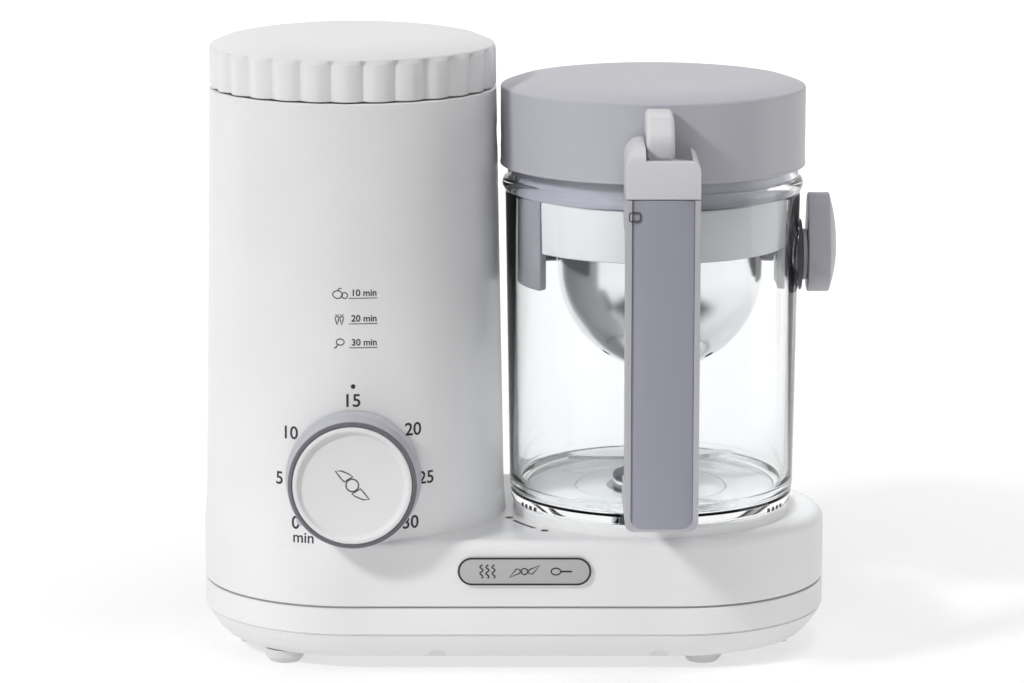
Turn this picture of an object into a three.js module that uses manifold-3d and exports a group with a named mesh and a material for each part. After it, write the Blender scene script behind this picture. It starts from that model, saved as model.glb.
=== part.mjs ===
// A baby food maker: a steam tower and a blending jug side by side on one stadium-shaped base.
// Millimetres, +Z up, front towards -Y, jug on the +X side. Each mesh is one physical piece.
import * as THREE from "three";
import { ConvexGeometry } from "three/addons/geometries/ConvexGeometry.js";
import { mergeVertices } from "three/addons/utils/BufferGeometryUtils.js";
import Module from "manifold-3d";

const wasm = await Module();
wasm.setup();

// -------------------- driving dimensions, mm

const GAP = 0.3; // left between two pieces that touch on the real object
const LARGE = 32; // facets round a large round piece
const MEDIUM = 16;
const SMALL = 8;

const base = {
  halfStraight: 71, // the plan outline is a circle pulled apart by this much each way along X
  radius: 67.2,
  bottom: 6.2,
  crease: 18, // the underside narrows below this height
  underside: [[9, 0], [5.5, 3.4], [2.6, 7.4]], // its curve: steps in from the side and up from the bottom
  seam: 30.5,
  deck: 60,
  edge: 4, // the deck's edge is rounded by this much
  wall: 2.8,
  floorTop: 10,
};
const tower = {
  x: -70.8,
  waist: 85, // the wall flares out to the base below this height
  waistRadius: 66,
  topRadius: 63.1,
  top: 249.6,
  wall: 2.4,
  ledge: 239, // the water tank hangs from this ledge
  ledgeWidth: 2.5,
  ledgeHeight: 3.7,
};
const dial = {
  shift: 1.7, // to the right of the tower's axis
  z: 88.3,
  back: -66.9,
  front: -84,
  radius: 28,
  skirt: 29.25,
  faceRadius: 25.6,
};
const jug = {
  x: 61.1,
  bottom: 64.8,
  floor: 70.5,
  wallLow: 78, // the wall runs straight above this height and rounds in to the floor below it
  footRadius: 62.6,
  wallRadius: 65.1,
  beadRadius: 66.4,
  beadLow: 204,
  beadHigh: 210,
  neckRadius: 64.2,
  rim: 214.9,
  wall: 3,
};
const lid = { radius: 67.2, bottom: 215.5, top: 253.2, wall: 2.4, steamZ: 228 };
const handle = {
  sides: [-14.6, 16.4], // from the jug's axis
  front: -111,
  back: -93,
  root: -69.2, // the arms meet the jug here
  bottom: 72.8,
  top: 215.9,
  armDepth: 17,
  corner: 6,
};
const cap = {
  top: 237,
  lip: 233.7,
  slotFloor: 227,
  slotSides: [-6.5, 13.4], // the lid's finger stands in this slot and has room to turn to the right
  lipDepth: 4.5,
};
const pivot = { z: 174.4, bowlOffset: 3.6, bowlRadius: 46, bowlRim: 190, bowlDrop: 7, neck: 8 };
const steamHoles = { count: 10, radius: 2.1, tilt: 0.66, bore: 8 };
const knob = { inner: 68.4, flat: 78, outer: 81.4, low: 16.5, high: 27.7, tipRadius: 8.5, domeZ: 4 };
const feet = { x: [-101, 83], y: [-40, 40], radius: 8.5, stem: 3 };
const notches = { x: [-33.6, 63], radius: 4.2 }; // in the tray's front lower edge
const screws = { x: [-118, 118], y: [-23, 23], shank: 1.6, head: 3.4 };
const gland = { x: 30, z: 21, bore: 3.6, body: 6, collar: 8.6 };

// -------------------- colours and finishes

const finish = (color, roughness, metalness = 0, opacity = 1) => ({
  color,
  roughness,
  metalness,
  opacity,
  transparent: opacity < 1,
});
const WHITE = finish(0xeeeeef, 0.35);
const GREY = finish(0x9c9cab, 0.45);
const LIGHT_GREY = finish(0xb9bac6, 0.45);
const DARK_GREY = finish(0x5a5a68, 0.5);
const BADGE_GREY = finish(0xa9a9ac, 0.4);
const CLEAR = finish(0xe8eef0, 0.05, 0, 0.3);
const STEEL = finish(0xc6c7c9, 0.18, 1);
const ALUMINIUM = finish(0xb7bac0, 0.4, 1);
const SILICONE = finish(0xdfe2e4, 0.7);
const RUBBER = finish(0xe4e4e4, 0.8);
const BLACK = finish(0x222226, 0.6);
const BOARD_GREEN = finish(0x2f6b45, 0.6);

// -------------------- shape helpers

// Joins and cuts work on closed meshes whose shared vertices are merged.
function solidOf(geometry) {
  const bare = new THREE.BufferGeometry();
  const flat = geometry.index ? geometry.toNonIndexed() : geometry;
  bare.setAttribute("position", flat.attributes.position.clone());
  const merged = mergeVertices(bare, 1e-4);
  const triVerts = [];
  for (let i = 0; i < merged.index.count; i += 3) {
    const [a, b, c] = [0, 1, 2].map((k) => merged.index.getX(i + k));
    if (a !== b && b !== c && c !== a) triVerts.push(a, b, c);
  }
  const vertProperties = merged.attributes.position.array;
  return new wasm.Manifold(
    new wasm.Mesh({ numProp: 3, vertProperties, triVerts: new Uint32Array(triVerts) }),
  );
}

function geometryOf(solid) {
  const mesh = solid.getMesh();
  const geometry = new THREE.BufferGeometry();
  geometry.setAttribute("position", new THREE.BufferAttribute(mesh.vertProperties, 3));
  geometry.setIndex(new THREE.BufferAttribute(mesh.triVerts, 1));
  return geometry;
}

const combine = (how) => (first, ...others) =>
  geometryOf(others.reduce((made, next) => made[how](solidOf(next)), solidOf(first)));
const cut = combine("subtract");
const join = combine("add");
const common = combine("intersect");

// A profile of [radius, height] points turned round Z. It runs from axis to axis, or is closed here.
function turned(profile, facets = LARGE, start = 0) {
  let area = 0;
  profile.forEach(([r, z], i) => {
    const [nextR, nextZ] = profile[(i + 1) % profile.length];
    area += r * nextZ - nextR * z;
  });
  const points = profile.map(([r, z]) => new THREE.Vector2(r, z));
  if (area < 0) points.reverse();
  const onAxis = points[0].x === 0 && points.at(-1).x === 0;
  if (!onAxis) points.push(points[0].clone());
  return new THREE.LatheGeometry(points, facets, start).rotateX(Math.PI / 2);
}

// A turned shape pulled apart along X, so that each circle in it becomes a stadium.
function stretched(profile, half = base.halfStraight) {
  const geometry = turned(profile, LARGE, Math.PI / LARGE);
  const position = geometry.attributes.position;
  for (let i = 0; i < position.count; i++) {
    const x = position.getX(i);
    if (Math.abs(x) > 1e-6) position.setX(i, x + Math.sign(x) * half);
  }
  return geometry;
}

const disc = (radius, low, high, facets) =>
  turned([[0, low], [radius, low], [radius, high], [0, high]], facets);
const ring = (inner, outer, low, high, facets) =>
  turned([[inner, low], [outer, low], [outer, high], [inner, high]], facets);

const toFront = (geometry) => geometry.rotateX(Math.PI / 2); // +Z becomes -Y
const toRight = (geometry) => geometry.rotateY(Math.PI / 2); // +Z becomes +X

function block([x0, x1], [y0, y1], [z0, z1]) {
  const geometry = new THREE.BoxGeometry(x1 - x0, y1 - y0, z1 - z0);
  return geometry.translate((x0 + x1) / 2, (y0 + y1) / 2, (z0 + z1) / 2);
}

function roundedRectangle([x0, x1], [y0, y1], r) {
  const shape = new THREE.Shape();
  shape.absarc(x1 - r, y0 + r, r, -Math.PI / 2, 0);
  shape.absarc(x1 - r, y1 - r, r, 0, Math.PI / 2);
  shape.absarc(x0 + r, y1 - r, r, Math.PI / 2, Math.PI);
  shape.absarc(x0 + r, y0 + r, r, Math.PI, 1.5 * Math.PI);
  return shape;
}

const extruded = (shape, low, high, curveSegments = 6) =>
  new THREE.ExtrudeGeometry(shape, { depth: high - low, bevelEnabled: false, curveSegments })
    .translate(0, 0, low);

// An outline drawn in (y, z) and given a width along X.
const acrossX = (shape, [x0, x1], curveSegments) =>
  extruded(shape, x0, x1, curveSegments).rotateZ(Math.PI / 2).rotateY(Math.PI / 2);

// -------------------- the assembly

const machine = new THREE.Group();

function group(parent, x = 0, y = 0, z = 0) {
  const made = new THREE.Group();
  made.position.set(x, y, z);
  parent.add(made);
  return made;
}

function piece(parent, name, geometry, look) {
  geometry.deleteAttribute("uv");
  geometry.computeVertexNormals();
  const mesh = new THREE.Mesh(geometry, new THREE.MeshStandardMaterial(look));
  mesh.name = name;
  parent.add(mesh);
  return mesh;
}

const atTower = group(machine, tower.x);
const atJug = group(machine, jug.x);
const towerSlope = (tower.topRadius - tower.waistRadius) / (tower.top - tower.waist);
const towerRadiusAt = (z) => tower.waistRadius + towerSlope * (z - tower.waist);

// -------------------- base tray, feet and screws

function baseTray() {
  const { radius: r, bottom, crease, floorTop, wall, seam } = base;
  const top = seam - GAP / 2;
  const above = seam + 9;
  const underside = base.underside.map(([inwards, up]) => [r - inwards, bottom + up]);
  const outside = stretched([[0, bottom], ...underside, [r, crease], [r, top], [0, top]]);
  const inside = stretched([
    [0, floorTop], [r - 10, floorTop], [r - wall, crease + 1], [r - wall, above], [0, above],
  ]);
  const throughFloor = [bottom - 1.2, floorTop + 2];
  const holes = [];
  for (const x of feet.x) {
    for (const y of feet.y) holes.push(disc(feet.stem + GAP, ...throughFloor, SMALL).translate(x, y, 0));
  }
  const screwWay = disc(screws.shank + 0.4, ...throughFloor, SMALL);
  for (const x of screws.x) {
    for (const y of screws.y) holes.push(screwWay.clone().translate(x, y, 0));
  }
  const notch = toFront(disc(notches.radius, r - 10, r + 4, MEDIUM));
  for (const x of notches.x) holes.push(notch.clone().translate(x, 0, bottom));
  holes.push(toFront(disc(gland.body + GAP, -r - 4, 10 - r, MEDIUM)).translate(gland.x, 0, gland.z));
  return cut(outside, inside, ...holes);
}

// A rubber foot with a stem that goes up through the tray's floor.
function foot() {
  const { radius, stem } = feet;
  const [top, high] = [base.bottom - GAP, base.floorTop];
  return turned([
    [0, 0], [radius - 1.9, 0], [radius, 2.6], [radius, top], [stem, top], [stem, high], [0, high],
  ], MEDIUM);
}

function trayScrew() {
  const { head, shank } = screws;
  const [low, high, tip] = [base.bottom - GAP - 1.8, base.bottom - GAP, 21];
  return turned([[0, low], [head, low], [head, high], [shank, high], [shank, tip], [0, tip]], SMALL);
}

function cordGland() {
  const [inside, outside] = [9 - base.radius, -base.radius - GAP];
  const { bore, body, collar } = gland;
  const face = outside - 2.9;
  return toFront(turned([
    [bore, face], [collar - 1.2, face], [collar, outside], [body, outside], [body, inside], [bore, inside],
  ], MEDIUM));
}

piece(machine, "base_tray", baseTray(), WHITE);
feet.x.forEach((x, i) =>
  feet.y.forEach((y, j) => {
    const place = `${["left", "right"][i]}_${["front", "rear"][j]}`;
    piece(group(machine, x, y), `foot_${place}`, foot(), RUBBER);
    piece(group(machine, screws.x[i], screws.y[j]), `tray_screw_${place}`, trayScrew(), STEEL);
  }),
);
piece(group(machine, gland.x, 0, gland.z), "cord_gland", cordGland(), BLACK);

// -------------------- upper housing: deck and tower in one shell

const seat = { inner: 34, outer: 61.5, top: 64.5 };
const couplingHole = 18;

// Four posts that take the tray's screws, each with a web to the end wall.
function screwPosts() {
  const top = base.deck - 1.5;
  const posts = [];
  for (const x of screws.x) {
    for (const y of screws.y) {
      posts.push(disc(4, base.floorTop + 1, top, SMALL).translate(x, y, 0));
      const web = [x, Math.sign(x) * (base.halfStraight + base.radius - 6.7)].sort((a, b) => a - b);
      posts.push(block(web, [y - 1, y + 1], [40, top]));
    }
  }
  return posts;
}

function deckOutside() {
  const { radius: r, deck, edge } = base;
  const low = base.seam + GAP / 2;
  const mid = 0.3 * edge;
  return stretched([
    [0, low], [r, low], [r, deck - edge], [r - mid, deck - mid], [r - edge, deck], [0, deck],
  ]);
}

function deckInside() {
  const [r, low, top] = [base.radius - base.wall, base.seam - 2, base.deck - base.wall];
  return stretched([[0, low], [r, low], [r, top], [0, top]]);
}

// The tower's wall flares out at its foot, to run into the base without a step.
function towerOutside() {
  const flush = base.radius - 0.05;
  return turned([
    [0, base.deck - 10], [flush, base.deck - 10], [flush, base.deck - base.edge], [66.6, base.deck + 2],
    [tower.waistRadius, tower.waist], [tower.topRadius, tower.top], [0, tower.top],
  ]);
}

const neck = tower.topRadius - tower.wall;

// Room for the tank: a narrower ring near the top is the ledge that its flange rests on.
function towerInside() {
  const [foot, hole] = [tower.waistRadius - tower.wall, neck - tower.ledgeWidth];
  const [low, ledgeTop, high] = [base.deck - 5, tower.ledge + tower.ledgeHeight, tower.top + 2];
  return turned([
    [0, low], [foot, low], [neck, tower.ledge], [hole, tower.ledge], [hole, ledgeTop],
    [neck + GAP, ledgeTop], [neck + GAP, high], [0, high],
  ]);
}

function upperHousing() {
  const dialX = tower.x + dial.shift;
  const dialBoss = toFront(disc(25, 59.5, -dial.back - 0.5, MEDIUM)).translate(dialX, 0, dial.z);
  const jugSeat = ring(seat.inner, seat.outer, base.deck - 1, seat.top).translate(jug.x, 0, 0);
  const shell = join(deckOutside(), towerOutside().translate(tower.x, 0, 0));
  const hollow = cut(shell, deckInside(), towerInside().translate(tower.x, 0, 0));
  const screwHole = disc(screws.shank + GAP, 8, 24, SMALL);
  const screwHoles = screws.x.flatMap((x) => screws.y.map((y) => screwHole.clone().translate(x, y, 0)));
  return cut(
    join(hollow, dialBoss, jugSeat, ...screwPosts()),
    ...screwHoles,
    toFront(disc(4.6, 55, 72, MEDIUM)).translate(dialX, 0, dial.z),
    disc(couplingHole, 50, 70, MEDIUM).translate(jug.x, 0, 0),
    toRight(disc(6.4, 50, 70, MEDIUM)).translate(tower.x, 0, lid.steamZ),
  );
}

function badgePlate() {
  const pill = roundedRectangle([-29, 29], [-6.35, 6.35], 6.3);
  return toFront(extruded(pill, base.radius + GAP, base.radius + GAP + 1.2, 8));
}

function lockRing() {
  return ring(couplingHole + 2, seat.inner - 0.5, base.deck + GAP, seat.top);
}

piece(machine, "upper_housing", upperHousing(), WHITE);
piece(group(machine, 4.5, 0, 47), "badge_plate", badgePlate(), BADGE_GREY);
piece(atJug, "jug_lock_ring", lockRing(), WHITE);

// -------------------- motor and drive, under the jug

const drive = { plateLow: 54.4, discLow: 56, discHigh: 59, pinHigh: 62.6, pinAt: 8, shaft: 3 };

function motorCan() {
  const top = drive.plateLow - GAP;
  const bore = drive.shaft + 0.5;
  return turned([[0, 16], [24, 16], [26, 18], [26, top], [bore, top], [bore, 38], [0, 38]]);
}

function motorPlate() {
  const outline = roundedRectangle([-36, 36], [-30, 30], 8);
  const plate = extruded(outline, drive.plateLow, base.deck - base.wall - GAP);
  return cut(plate, disc(couplingHole - 2, 50, 60, MEDIUM));
}

function driveCoupling() {
  const spindle = disc(drive.shaft, 38.5, drive.discLow + 1, SMALL);
  const plate = disc(12, drive.discLow, drive.discHigh, MEDIUM);
  const pins = [-drive.pinAt, drive.pinAt].map((x) =>
    disc(2.4, drive.discHigh - 1, drive.pinHigh, SMALL).translate(x, 0, 0),
  );
  return join(plate, spindle, ...pins);
}

piece(atJug, "motor_can", motorCan(), STEEL);
piece(atJug, "motor_plate", motorPlate(), STEEL);
piece(atJug, "drive_coupling", driveCoupling(), BLACK);

// -------------------- controls

function controlBoard() {
  const board = block([-42, 14], [6, 50], [22, 23.6]);
  const relay = block([-36, -18], [12, 28], [23, 38]);
  const capacitor = disc(6, 23, 42, SMALL).translate(2, 36, 0);
  return join(board, relay, capacitor);
}

const timer = { back: 25, front: 49.7, half: 18 };

function timerBody() {
  const side = [-timer.half, timer.half];
  const body = toFront(extruded(roundedRectangle(side, side, 3), timer.back, timer.front));
  return cut(body, toFront(disc(2.3, 20, 60, SMALL)));
}

function blendSwitch() {
  return join(block([-8, 8], [-19.5, -9], [-6, 6]), toFront(disc(2, 19, 21, SMALL)));
}

piece(machine, "control_board", controlBoard(), BOARD_GREEN);
const atDial = group(atTower, dial.shift, 0, dial.z);
piece(atDial, "timer_body", timerBody(), BLACK);
piece(atDial, "blend_switch", blendSwitch(), BLACK);
piece(atJug, "lid_sensor", block([-5, 5], [-61, -56], [46, 56.5]), BLACK);

// -------------------- timer dial with the blend button in its face

function dialRing() {
  const [back, front] = [-dial.back, -dial.front];
  const { radius, skirt } = dial;
  const hub = 4.4;
  const opening = dial.faceRadius + 0.4;
  const [flange, floor, lip] = [back + 2.2, back + 3, front - 0.4];
  const rim = turned([
    [hub, back], [skirt, back], [skirt, flange], [radius, flange + 1.2], [radius, front - 3.2],
    [opening + GAP, lip], [opening, lip], [opening, floor], [hub, floor],
  ]);
  const toZero = THREE.MathUtils.degToRad(-50); // the pointer stands at the scale's zero, lower left
  const pointer = block([-2, 2], [-skirt - 2, -skirt + 2], [back, flange]).rotateZ(toZero);
  return toFront(join(rim, pointer));
}

// The button's face is dished inside a narrow raised rim.
function dialCap() {
  const [back, front] = [-dial.back + 6.3, -dial.front];
  const r = dial.faceRadius;
  return toFront(turned([
    [0, back], [r, back], [r, front - 0.6], [r - 0.8, front], [r - 1.6, front], [r - 4, front - 1.6],
    [0, front - 1.9],
  ]));
}

const dialShaft = () => toFront(ring(2.1, 4, timer.front + GAP, -dial.back + 2.8, MEDIUM));
const blendRod = () => toFront(disc(1.6, 24.5, -dial.back + 6, SMALL));

piece(atDial, "dial_ring", dialRing(), GREY);
piece(atDial, "dial_shaft", dialShaft(), STEEL);
piece(atDial, "dial_cap", dialCap(), WHITE);
piece(atDial, "blend_rod", blendRod(), SILICONE);

// -------------------- water tank, heater and steam way, in the tower

const tank = { bottom: 125, flange: tower.ledge + 4, rim: neck - GAP, radius: 57.4, wall: 2 };
const steam = { pipeX: 44, pipeRadius: 4.5, bore: 3, bend: 9 };

function waterTank() {
  const { radius: r, rim, wall: w, bottom, flange } = tank;
  const pipeHole = steam.pipeRadius + 0.4;
  const cup = turned([
    [0, bottom], [r - 3, bottom], [r, bottom + 3], [r, flange], [rim, flange], [rim, flange + w],
    [r - w, flange + w], [r - w, bottom + 4], [r - w - 2, bottom + w], [0, bottom + w],
  ]);
  return cut(
    cup,
    toRight(disc(pipeHole, 50, 62, MEDIUM)).translate(0, 0, lid.steamZ),
    disc(pipeHole, bottom - 2, bottom + 5, MEDIUM).translate(steam.pipeX, 0, 0),
  );
}

// The pipe rises from the heater through the water and bends towards the jug above it.
function steamPipe() {
  const point = (x, z) => new THREE.Vector3(x, 0, z);
  const { pipeX: x, bend } = steam;
  const z = lid.steamZ;
  const path = new THREE.CurvePath();
  path.add(new THREE.LineCurve3(point(x, tank.bottom - 0.5), point(x, z - bend)));
  path.add(new THREE.QuadraticBezierCurve3(point(x, z - bend), point(x, z), point(x + bend, z)));
  path.add(new THREE.LineCurve3(point(x + bend, z), point(58.2, z)));
  const section = new THREE.Shape().absarc(0, 0, steam.pipeRadius, 0, 2 * Math.PI);
  section.holes.push(new THREE.Path().absarc(0, 0, steam.bore, 0, 2 * Math.PI, true));
  return new THREE.ExtrudeGeometry(section, { steps: 14, curveSegments: 5, extrudePath: path });
}

function steamNozzle() {
  const face = towerRadiusAt(lid.steamZ) - 0.4;
  return toRight(ring(steam.bore, 6, 58.6, face, MEDIUM)).translate(0, 0, lid.steamZ);
}

piece(atTower, "water_tank", waterTank(), CLEAR);
piece(atTower, "heating_plate", disc(42, 117, tank.bottom - 0.8), ALUMINIUM);
piece(atTower, "thermostat", disc(9, 110, 117 - GAP, MEDIUM), BLACK);
piece(atTower, "steam_pipe", steamPipe(), SILICONE);
piece(atTower, "steam_nozzle", steamNozzle(), SILICONE);

// -------------------- tank lid: fluted cap on a sealed stopper

const cover = { bottom: 250.2, rim: 268.4, top: 274.4, flutes: 28, depth: 0.8 };

function flutedOutline() {
  const steps = cover.flutes * 4;
  const points = [];
  for (let i = 0; i < steps; i++) {
    const angle = (2 * Math.PI * i) / steps;
    const wave = 0.5 + 0.5 * Math.cos(cover.flutes * angle);
    const r = tower.topRadius - cover.depth * wave;
    points.push(new THREE.Vector2(r * Math.cos(angle), r * Math.sin(angle)));
  }
  return new THREE.Shape(points);
}

// Half the section of a shallow dome, from its edge up to its middle.
function domeLine(radius, edgeZ, topZ, steps) {
  const points = [];
  for (let i = 0; i <= steps; i++) {
    const r = radius * (1 - i / steps);
    points.push([r, topZ - (topZ - edgeZ) * (r / radius) ** 2]);
  }
  return points;
}

function tankLid() {
  const { bottom, rim, top } = cover;
  const crownRadius = tower.topRadius - cover.depth - 0.2;
  const fluted = extruded(flutedOutline(), bottom, rim);
  const crown = turned([[0, rim - 1], [crownRadius, rim - 1], ...domeLine(crownRadius, rim, top, 5)]);
  const hollow = turned([[0, bottom - 1], [60, bottom - 1], [59, rim - 3], [0, rim - 1]]);
  return cut(join(fluted, crown), hollow);
}

const stopper = {
  bottom: 236,
  floor: 240,
  plug: 53.4,
  flangeLow: 246,
  flange: 58,
  grip: 20,
  gripTop: 262.6,
};

// A cup-shaped stopper with a flange at mid height and a raised grip ring.
function tankStopper() {
  const { bottom, floor, plug, flangeLow, flange, grip, gripTop } = stopper;
  const [flangeTop, hollow] = [tower.top, grip - 3];
  return turned([
    [0, bottom], [plug - 3.4, bottom], [plug, bottom + 2], [plug, flangeLow], [flange, flangeLow],
    [flange, flangeTop], [grip, flangeTop], [grip, gripTop], [hollow, gripTop], [hollow, floor], [0, floor],
  ]);
}

const tankSeal = () =>
  ring(stopper.plug + GAP, tank.radius - tank.wall, stopper.floor, stopper.flangeLow - 0.4);

piece(atTower, "tank_lid", tankLid(), WHITE);
piece(atTower, "tank_stopper", tankStopper(), WHITE);
piece(atTower, "tank_seal", tankSeal(), SILICONE);

// -------------------- jug

const bearing = { bore: 3.6, stem: 13.6 };
const boss = { halfWidth: 9, upper: [200, 213], lower: [77, 89] };
const screwAt = { x: -6, upper: 207.5, lower: 83, hole: 2.1 };

// The moulding's outside and inside are one closed profile round the bearing's hole.
function jugShell() {
  const { wall, bottom, floor, wallLow, footRadius, wallRadius, neckRadius, rim } = jug;
  const { beadLow, beadHigh, beadRadius } = jug;
  const hole = bearing.stem + 0.6;
  return turned([
    [hole, bottom], [footRadius - 2, bottom], [footRadius, bottom + 2], [footRadius + 0.6, wallLow],
    [wallRadius, beadLow - 0.8], [beadRadius, beadLow], [beadRadius, beadHigh - 0.6],
    [neckRadius, beadHigh], [neckRadius, rim], [neckRadius - 2.8, rim],
    [wallRadius - wall, beadLow - 1], [footRadius - 2.6, wallLow], [footRadius - 4, wallLow - 5],
    [footRadius - 7.1, floor], [hole, floor],
  ]);
}

function jugGlass() {
  const { wall, floor, wallLow, footRadius, wallRadius, neckRadius, beadLow, rim } = jug;
  const above = rim + 5.1;
  const inside = turned([
    [0, floor + 0.5], [footRadius - 4, wallLow - 5], [footRadius - 2.1, wallLow],
    [wallRadius - wall + 0.5, beadLow], [neckRadius - 2.6, above], [0, above],
  ]);
  const bosses = [boss.upper, boss.lower].map((span) =>
    cut(block([-boss.halfWidth, boss.halfWidth], [-68.6, -61.6], span), inside),
  );
  const screwHoles = [screwAt.upper, screwAt.lower].map((z) =>
    toFront(disc(screwAt.hole, 64.2, 72, SMALL)).translate(screwAt.x, 0, z),
  );
  const pivotHole = toRight(disc(12, 55, 70, MEDIUM)).translate(0, 0, pivot.z);
  return cut(join(jugShell(), ...bosses), ...screwHoles, pivotHole);
}

function bladeBearing() {
  const { bore, stem } = bearing;
  return turned([
    [bore, 65.2], [stem, 65.2], [stem, 72.3], [17, 72.3], [17, 74], [9, 76], [6.6, 80], [bore, 80],
  ], MEDIUM);
}

piece(atJug, "jug_glass", jugGlass(), CLEAR);
piece(atJug, "blade_bearing", bladeBearing(), DARK_GREY);
const bearingGasket = ring(bearing.stem + 0.4, 17, jug.floor + GAP, 72, MEDIUM);
piece(atJug, "bearing_gasket", bearingGasket, SILICONE);

// -------------------- handle, in front of the jug

const rodAt = { x: 2, y: -100, toe: [-0.4, 4.4] };

// Seen from the side: a grip with an arm at each end, rounded at the front below and inside the gap.
function handleSide() {
  const { front, back, root, bottom, top, armDepth } = handle;
  const [outer, inner] = [9, 6];
  const outline = new THREE.Shape();
  outline.moveTo(root, top);
  outline.lineTo(front, top);
  outline.absarc(front + outer, bottom + outer, outer, Math.PI, 1.5 * Math.PI);
  outline.lineTo(root, bottom);
  outline.lineTo(root, bottom + armDepth);
  outline.lineTo(back + inner, bottom + armDepth);
  outline.absarc(back + inner, bottom + armDepth + inner, inner, 1.5 * Math.PI, Math.PI, true);
  outline.absarc(back + inner, top - armDepth - inner, inner, Math.PI, Math.PI / 2, true);
  outline.lineTo(root, top - armDepth);
  return acrossX(outline, handle.sides, 4);
}

function handleFrame() {
  const { front, root, bottom, top, sides, corner } = handle;
  const [left, right] = sides;
  const inPlan = extruded(roundedRectangle(sides, [front, 0], 4), bottom - 1, top + 1, 4);
  const face = roundedRectangle(sides, [bottom, top + corner], corner);
  const fromFront = toFront(extruded(face, -root, -front, 4));
  const screwWays = [screwAt.upper, screwAt.lower].flatMap((z) => [
    toFront(disc(screwAt.hole, 66, 115, SMALL)).translate(screwAt.x, 0, z),
    toFront(disc(4, 105, 115, SMALL)).translate(screwAt.x, 0, z),
  ]);
  return cut(
    common(common(handleSide(), inPlan), fromFront),
    block([left + 2.5, right - 2.5], [front - 1, front + 1.6], [bottom + 5, top + 1]),
    disc(2.5, bottom + 6, top + 2, SMALL).translate(rodAt.x, rodAt.y, 0),
    block([rodAt.x - 3, rodAt.x + 3], [rodAt.y - 1, -72], [bottom + 4, bottom + 14]),
    ...screwWays,
  );
}

function handlePanel() {
  const [left, right] = handle.sides;
  const outline = roundedRectangle([left + 2.8, right - 2.8], [handle.bottom + 5.3, handle.top], 3);
  return toFront(extruded(outline, -handle.front - 1.3, -handle.front + 0.2, 3));
}

// Seen from the front: high and well rounded on the left, lower behind the lip on the right.
function capFront(low) {
  const [left, right] = handle.sides;
  const round = 8;
  const outline = new THREE.Shape();
  outline.moveTo(right, low);
  outline.lineTo(right, cap.lip);
  outline.lineTo(cap.slotSides[0], cap.lip);
  outline.lineTo(cap.slotSides[0], cap.top);
  outline.absarc(left + round, cap.top - round, round, Math.PI / 2, Math.PI);
  outline.lineTo(left, low);
  return outline;
}

function handleCap() {
  const { front, sides } = handle;
  const low = handle.top + GAP;
  const back = handle.root - 0.2;
  const body = toFront(extruded(capFront(low), -back, -front, 4));
  const inPlan = extruded(roundedRectangle(sides, [front, back], 5), low, cap.top, 4);
  const fromSide = acrossX(roundedRectangle([front, back + 4], [low - 10, cap.top], 4), sides, 3);
  return cut(
    common(common(body, inPlan), fromSide),
    block(cap.slotSides, [front + cap.lipDepth, back + 10], [cap.slotFloor, cap.top + 5]),
    disc(2.5, low - 2, cap.slotFloor + 3, SMALL).translate(rodAt.x, rodAt.y, 0),
  );
}

function handleScrew() {
  const [tip, head, end] = [65, 105.4, 108];
  const [shank, wide] = [1.8, 3.6];
  return toFront(turned([
    [0, tip], [shank, tip], [shank, head], [wide, head], [wide, end], [0, end],
  ], SMALL));
}

// The rod runs down the grip and turns into the lower arm, where it carries the magnet.
function interlockRod() {
  const low = handle.bottom + 8;
  const rod = disc(2, low + 1.5, cap.slotFloor - 0.5, SMALL).translate(rodAt.x, rodAt.y, 0);
  return join(rod, block(rodAt.toe, [rodAt.y, -79], [low, low + 3]));
}

const interlockMagnet = () => block(rodAt.toe, [-78.7, -73], [handle.bottom + 8, handle.bottom + 12]);

piece(atJug, "handle_frame", handleFrame(), GREY);
piece(atJug, "handle_panel", handlePanel(), GREY);
piece(atJug, "handle_cap", handleCap(), LIGHT_GREY);
piece(group(atJug, screwAt.x, 0, screwAt.upper), "handle_screw_upper", handleScrew(), STEEL);
piece(group(atJug, screwAt.x, 0, screwAt.lower), "handle_screw_lower", handleScrew(), STEEL);
piece(atJug, "interlock_rod", interlockRod(), SILICONE);
piece(atJug, "interlock_magnet", interlockMagnet(), DARK_GREY);

// -------------------- bowl carrier in the jug's mouth

const arm = { leftLow: 163.8, rightLow: 158, inner: 57, outer: 60.7, halfAngle: 0.62 };

// Part of a ring between two angles either side of the given direction.
function ringSector(inner, outer, low, high, middle, halfAngle) {
  const shape = new THREE.Shape();
  shape.absarc(0, 0, outer, middle - halfAngle, middle + halfAngle);
  shape.absarc(0, 0, inner, middle + halfAngle, middle - halfAngle, true);
  return extruded(shape, low, high, SMALL);
}

function carrierRing() {
  const band = turned([[57.5, 203], [61.1, 203], [61.1, 215.3], [63.6, 215.3], [63.6, 217], [57.5, 217]]);
  const leftArm = ringSector(arm.inner, arm.outer, arm.leftLow, 206, Math.PI, arm.halfAngle);
  return cut(join(band, leftArm), toRight(disc(3.9, -65, -50, SMALL)).translate(0, 0, pivot.z));
}

function collarRing() {
  const collar = turned([[56.4, 180], [60, 180], [60.6, 202.6], [57, 202.6]]);
  const rightArm = ringSector(56.4, 60.2, arm.rightLow, 182, 0, 0.12);
  const forLeftArm = ringSector(arm.inner - 1, arm.outer + 2, 170, 210, Math.PI, arm.halfAngle + 0.02);
  const shaftHole = toRight(disc(5.6, 50, 70, SMALL)).translate(0, 0, pivot.z);
  return cut(join(collar, rightArm), forLeftArm, shaftHole);
}

function pivotBushing() {
  const [bore, face] = [pivot.neck + 0.4, 65.9];
  const sleeve = toRight(ring(bore, 11.6, 62, face, MEDIUM)).translate(0, 0, pivot.z);
  const flange = toRight(ring(bore, 15.8, 58, face, MEDIUM)).translate(0, 0, pivot.z);
  return join(sleeve, cut(flange, disc(jug.wallRadius, 150, 200)));
}

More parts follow.
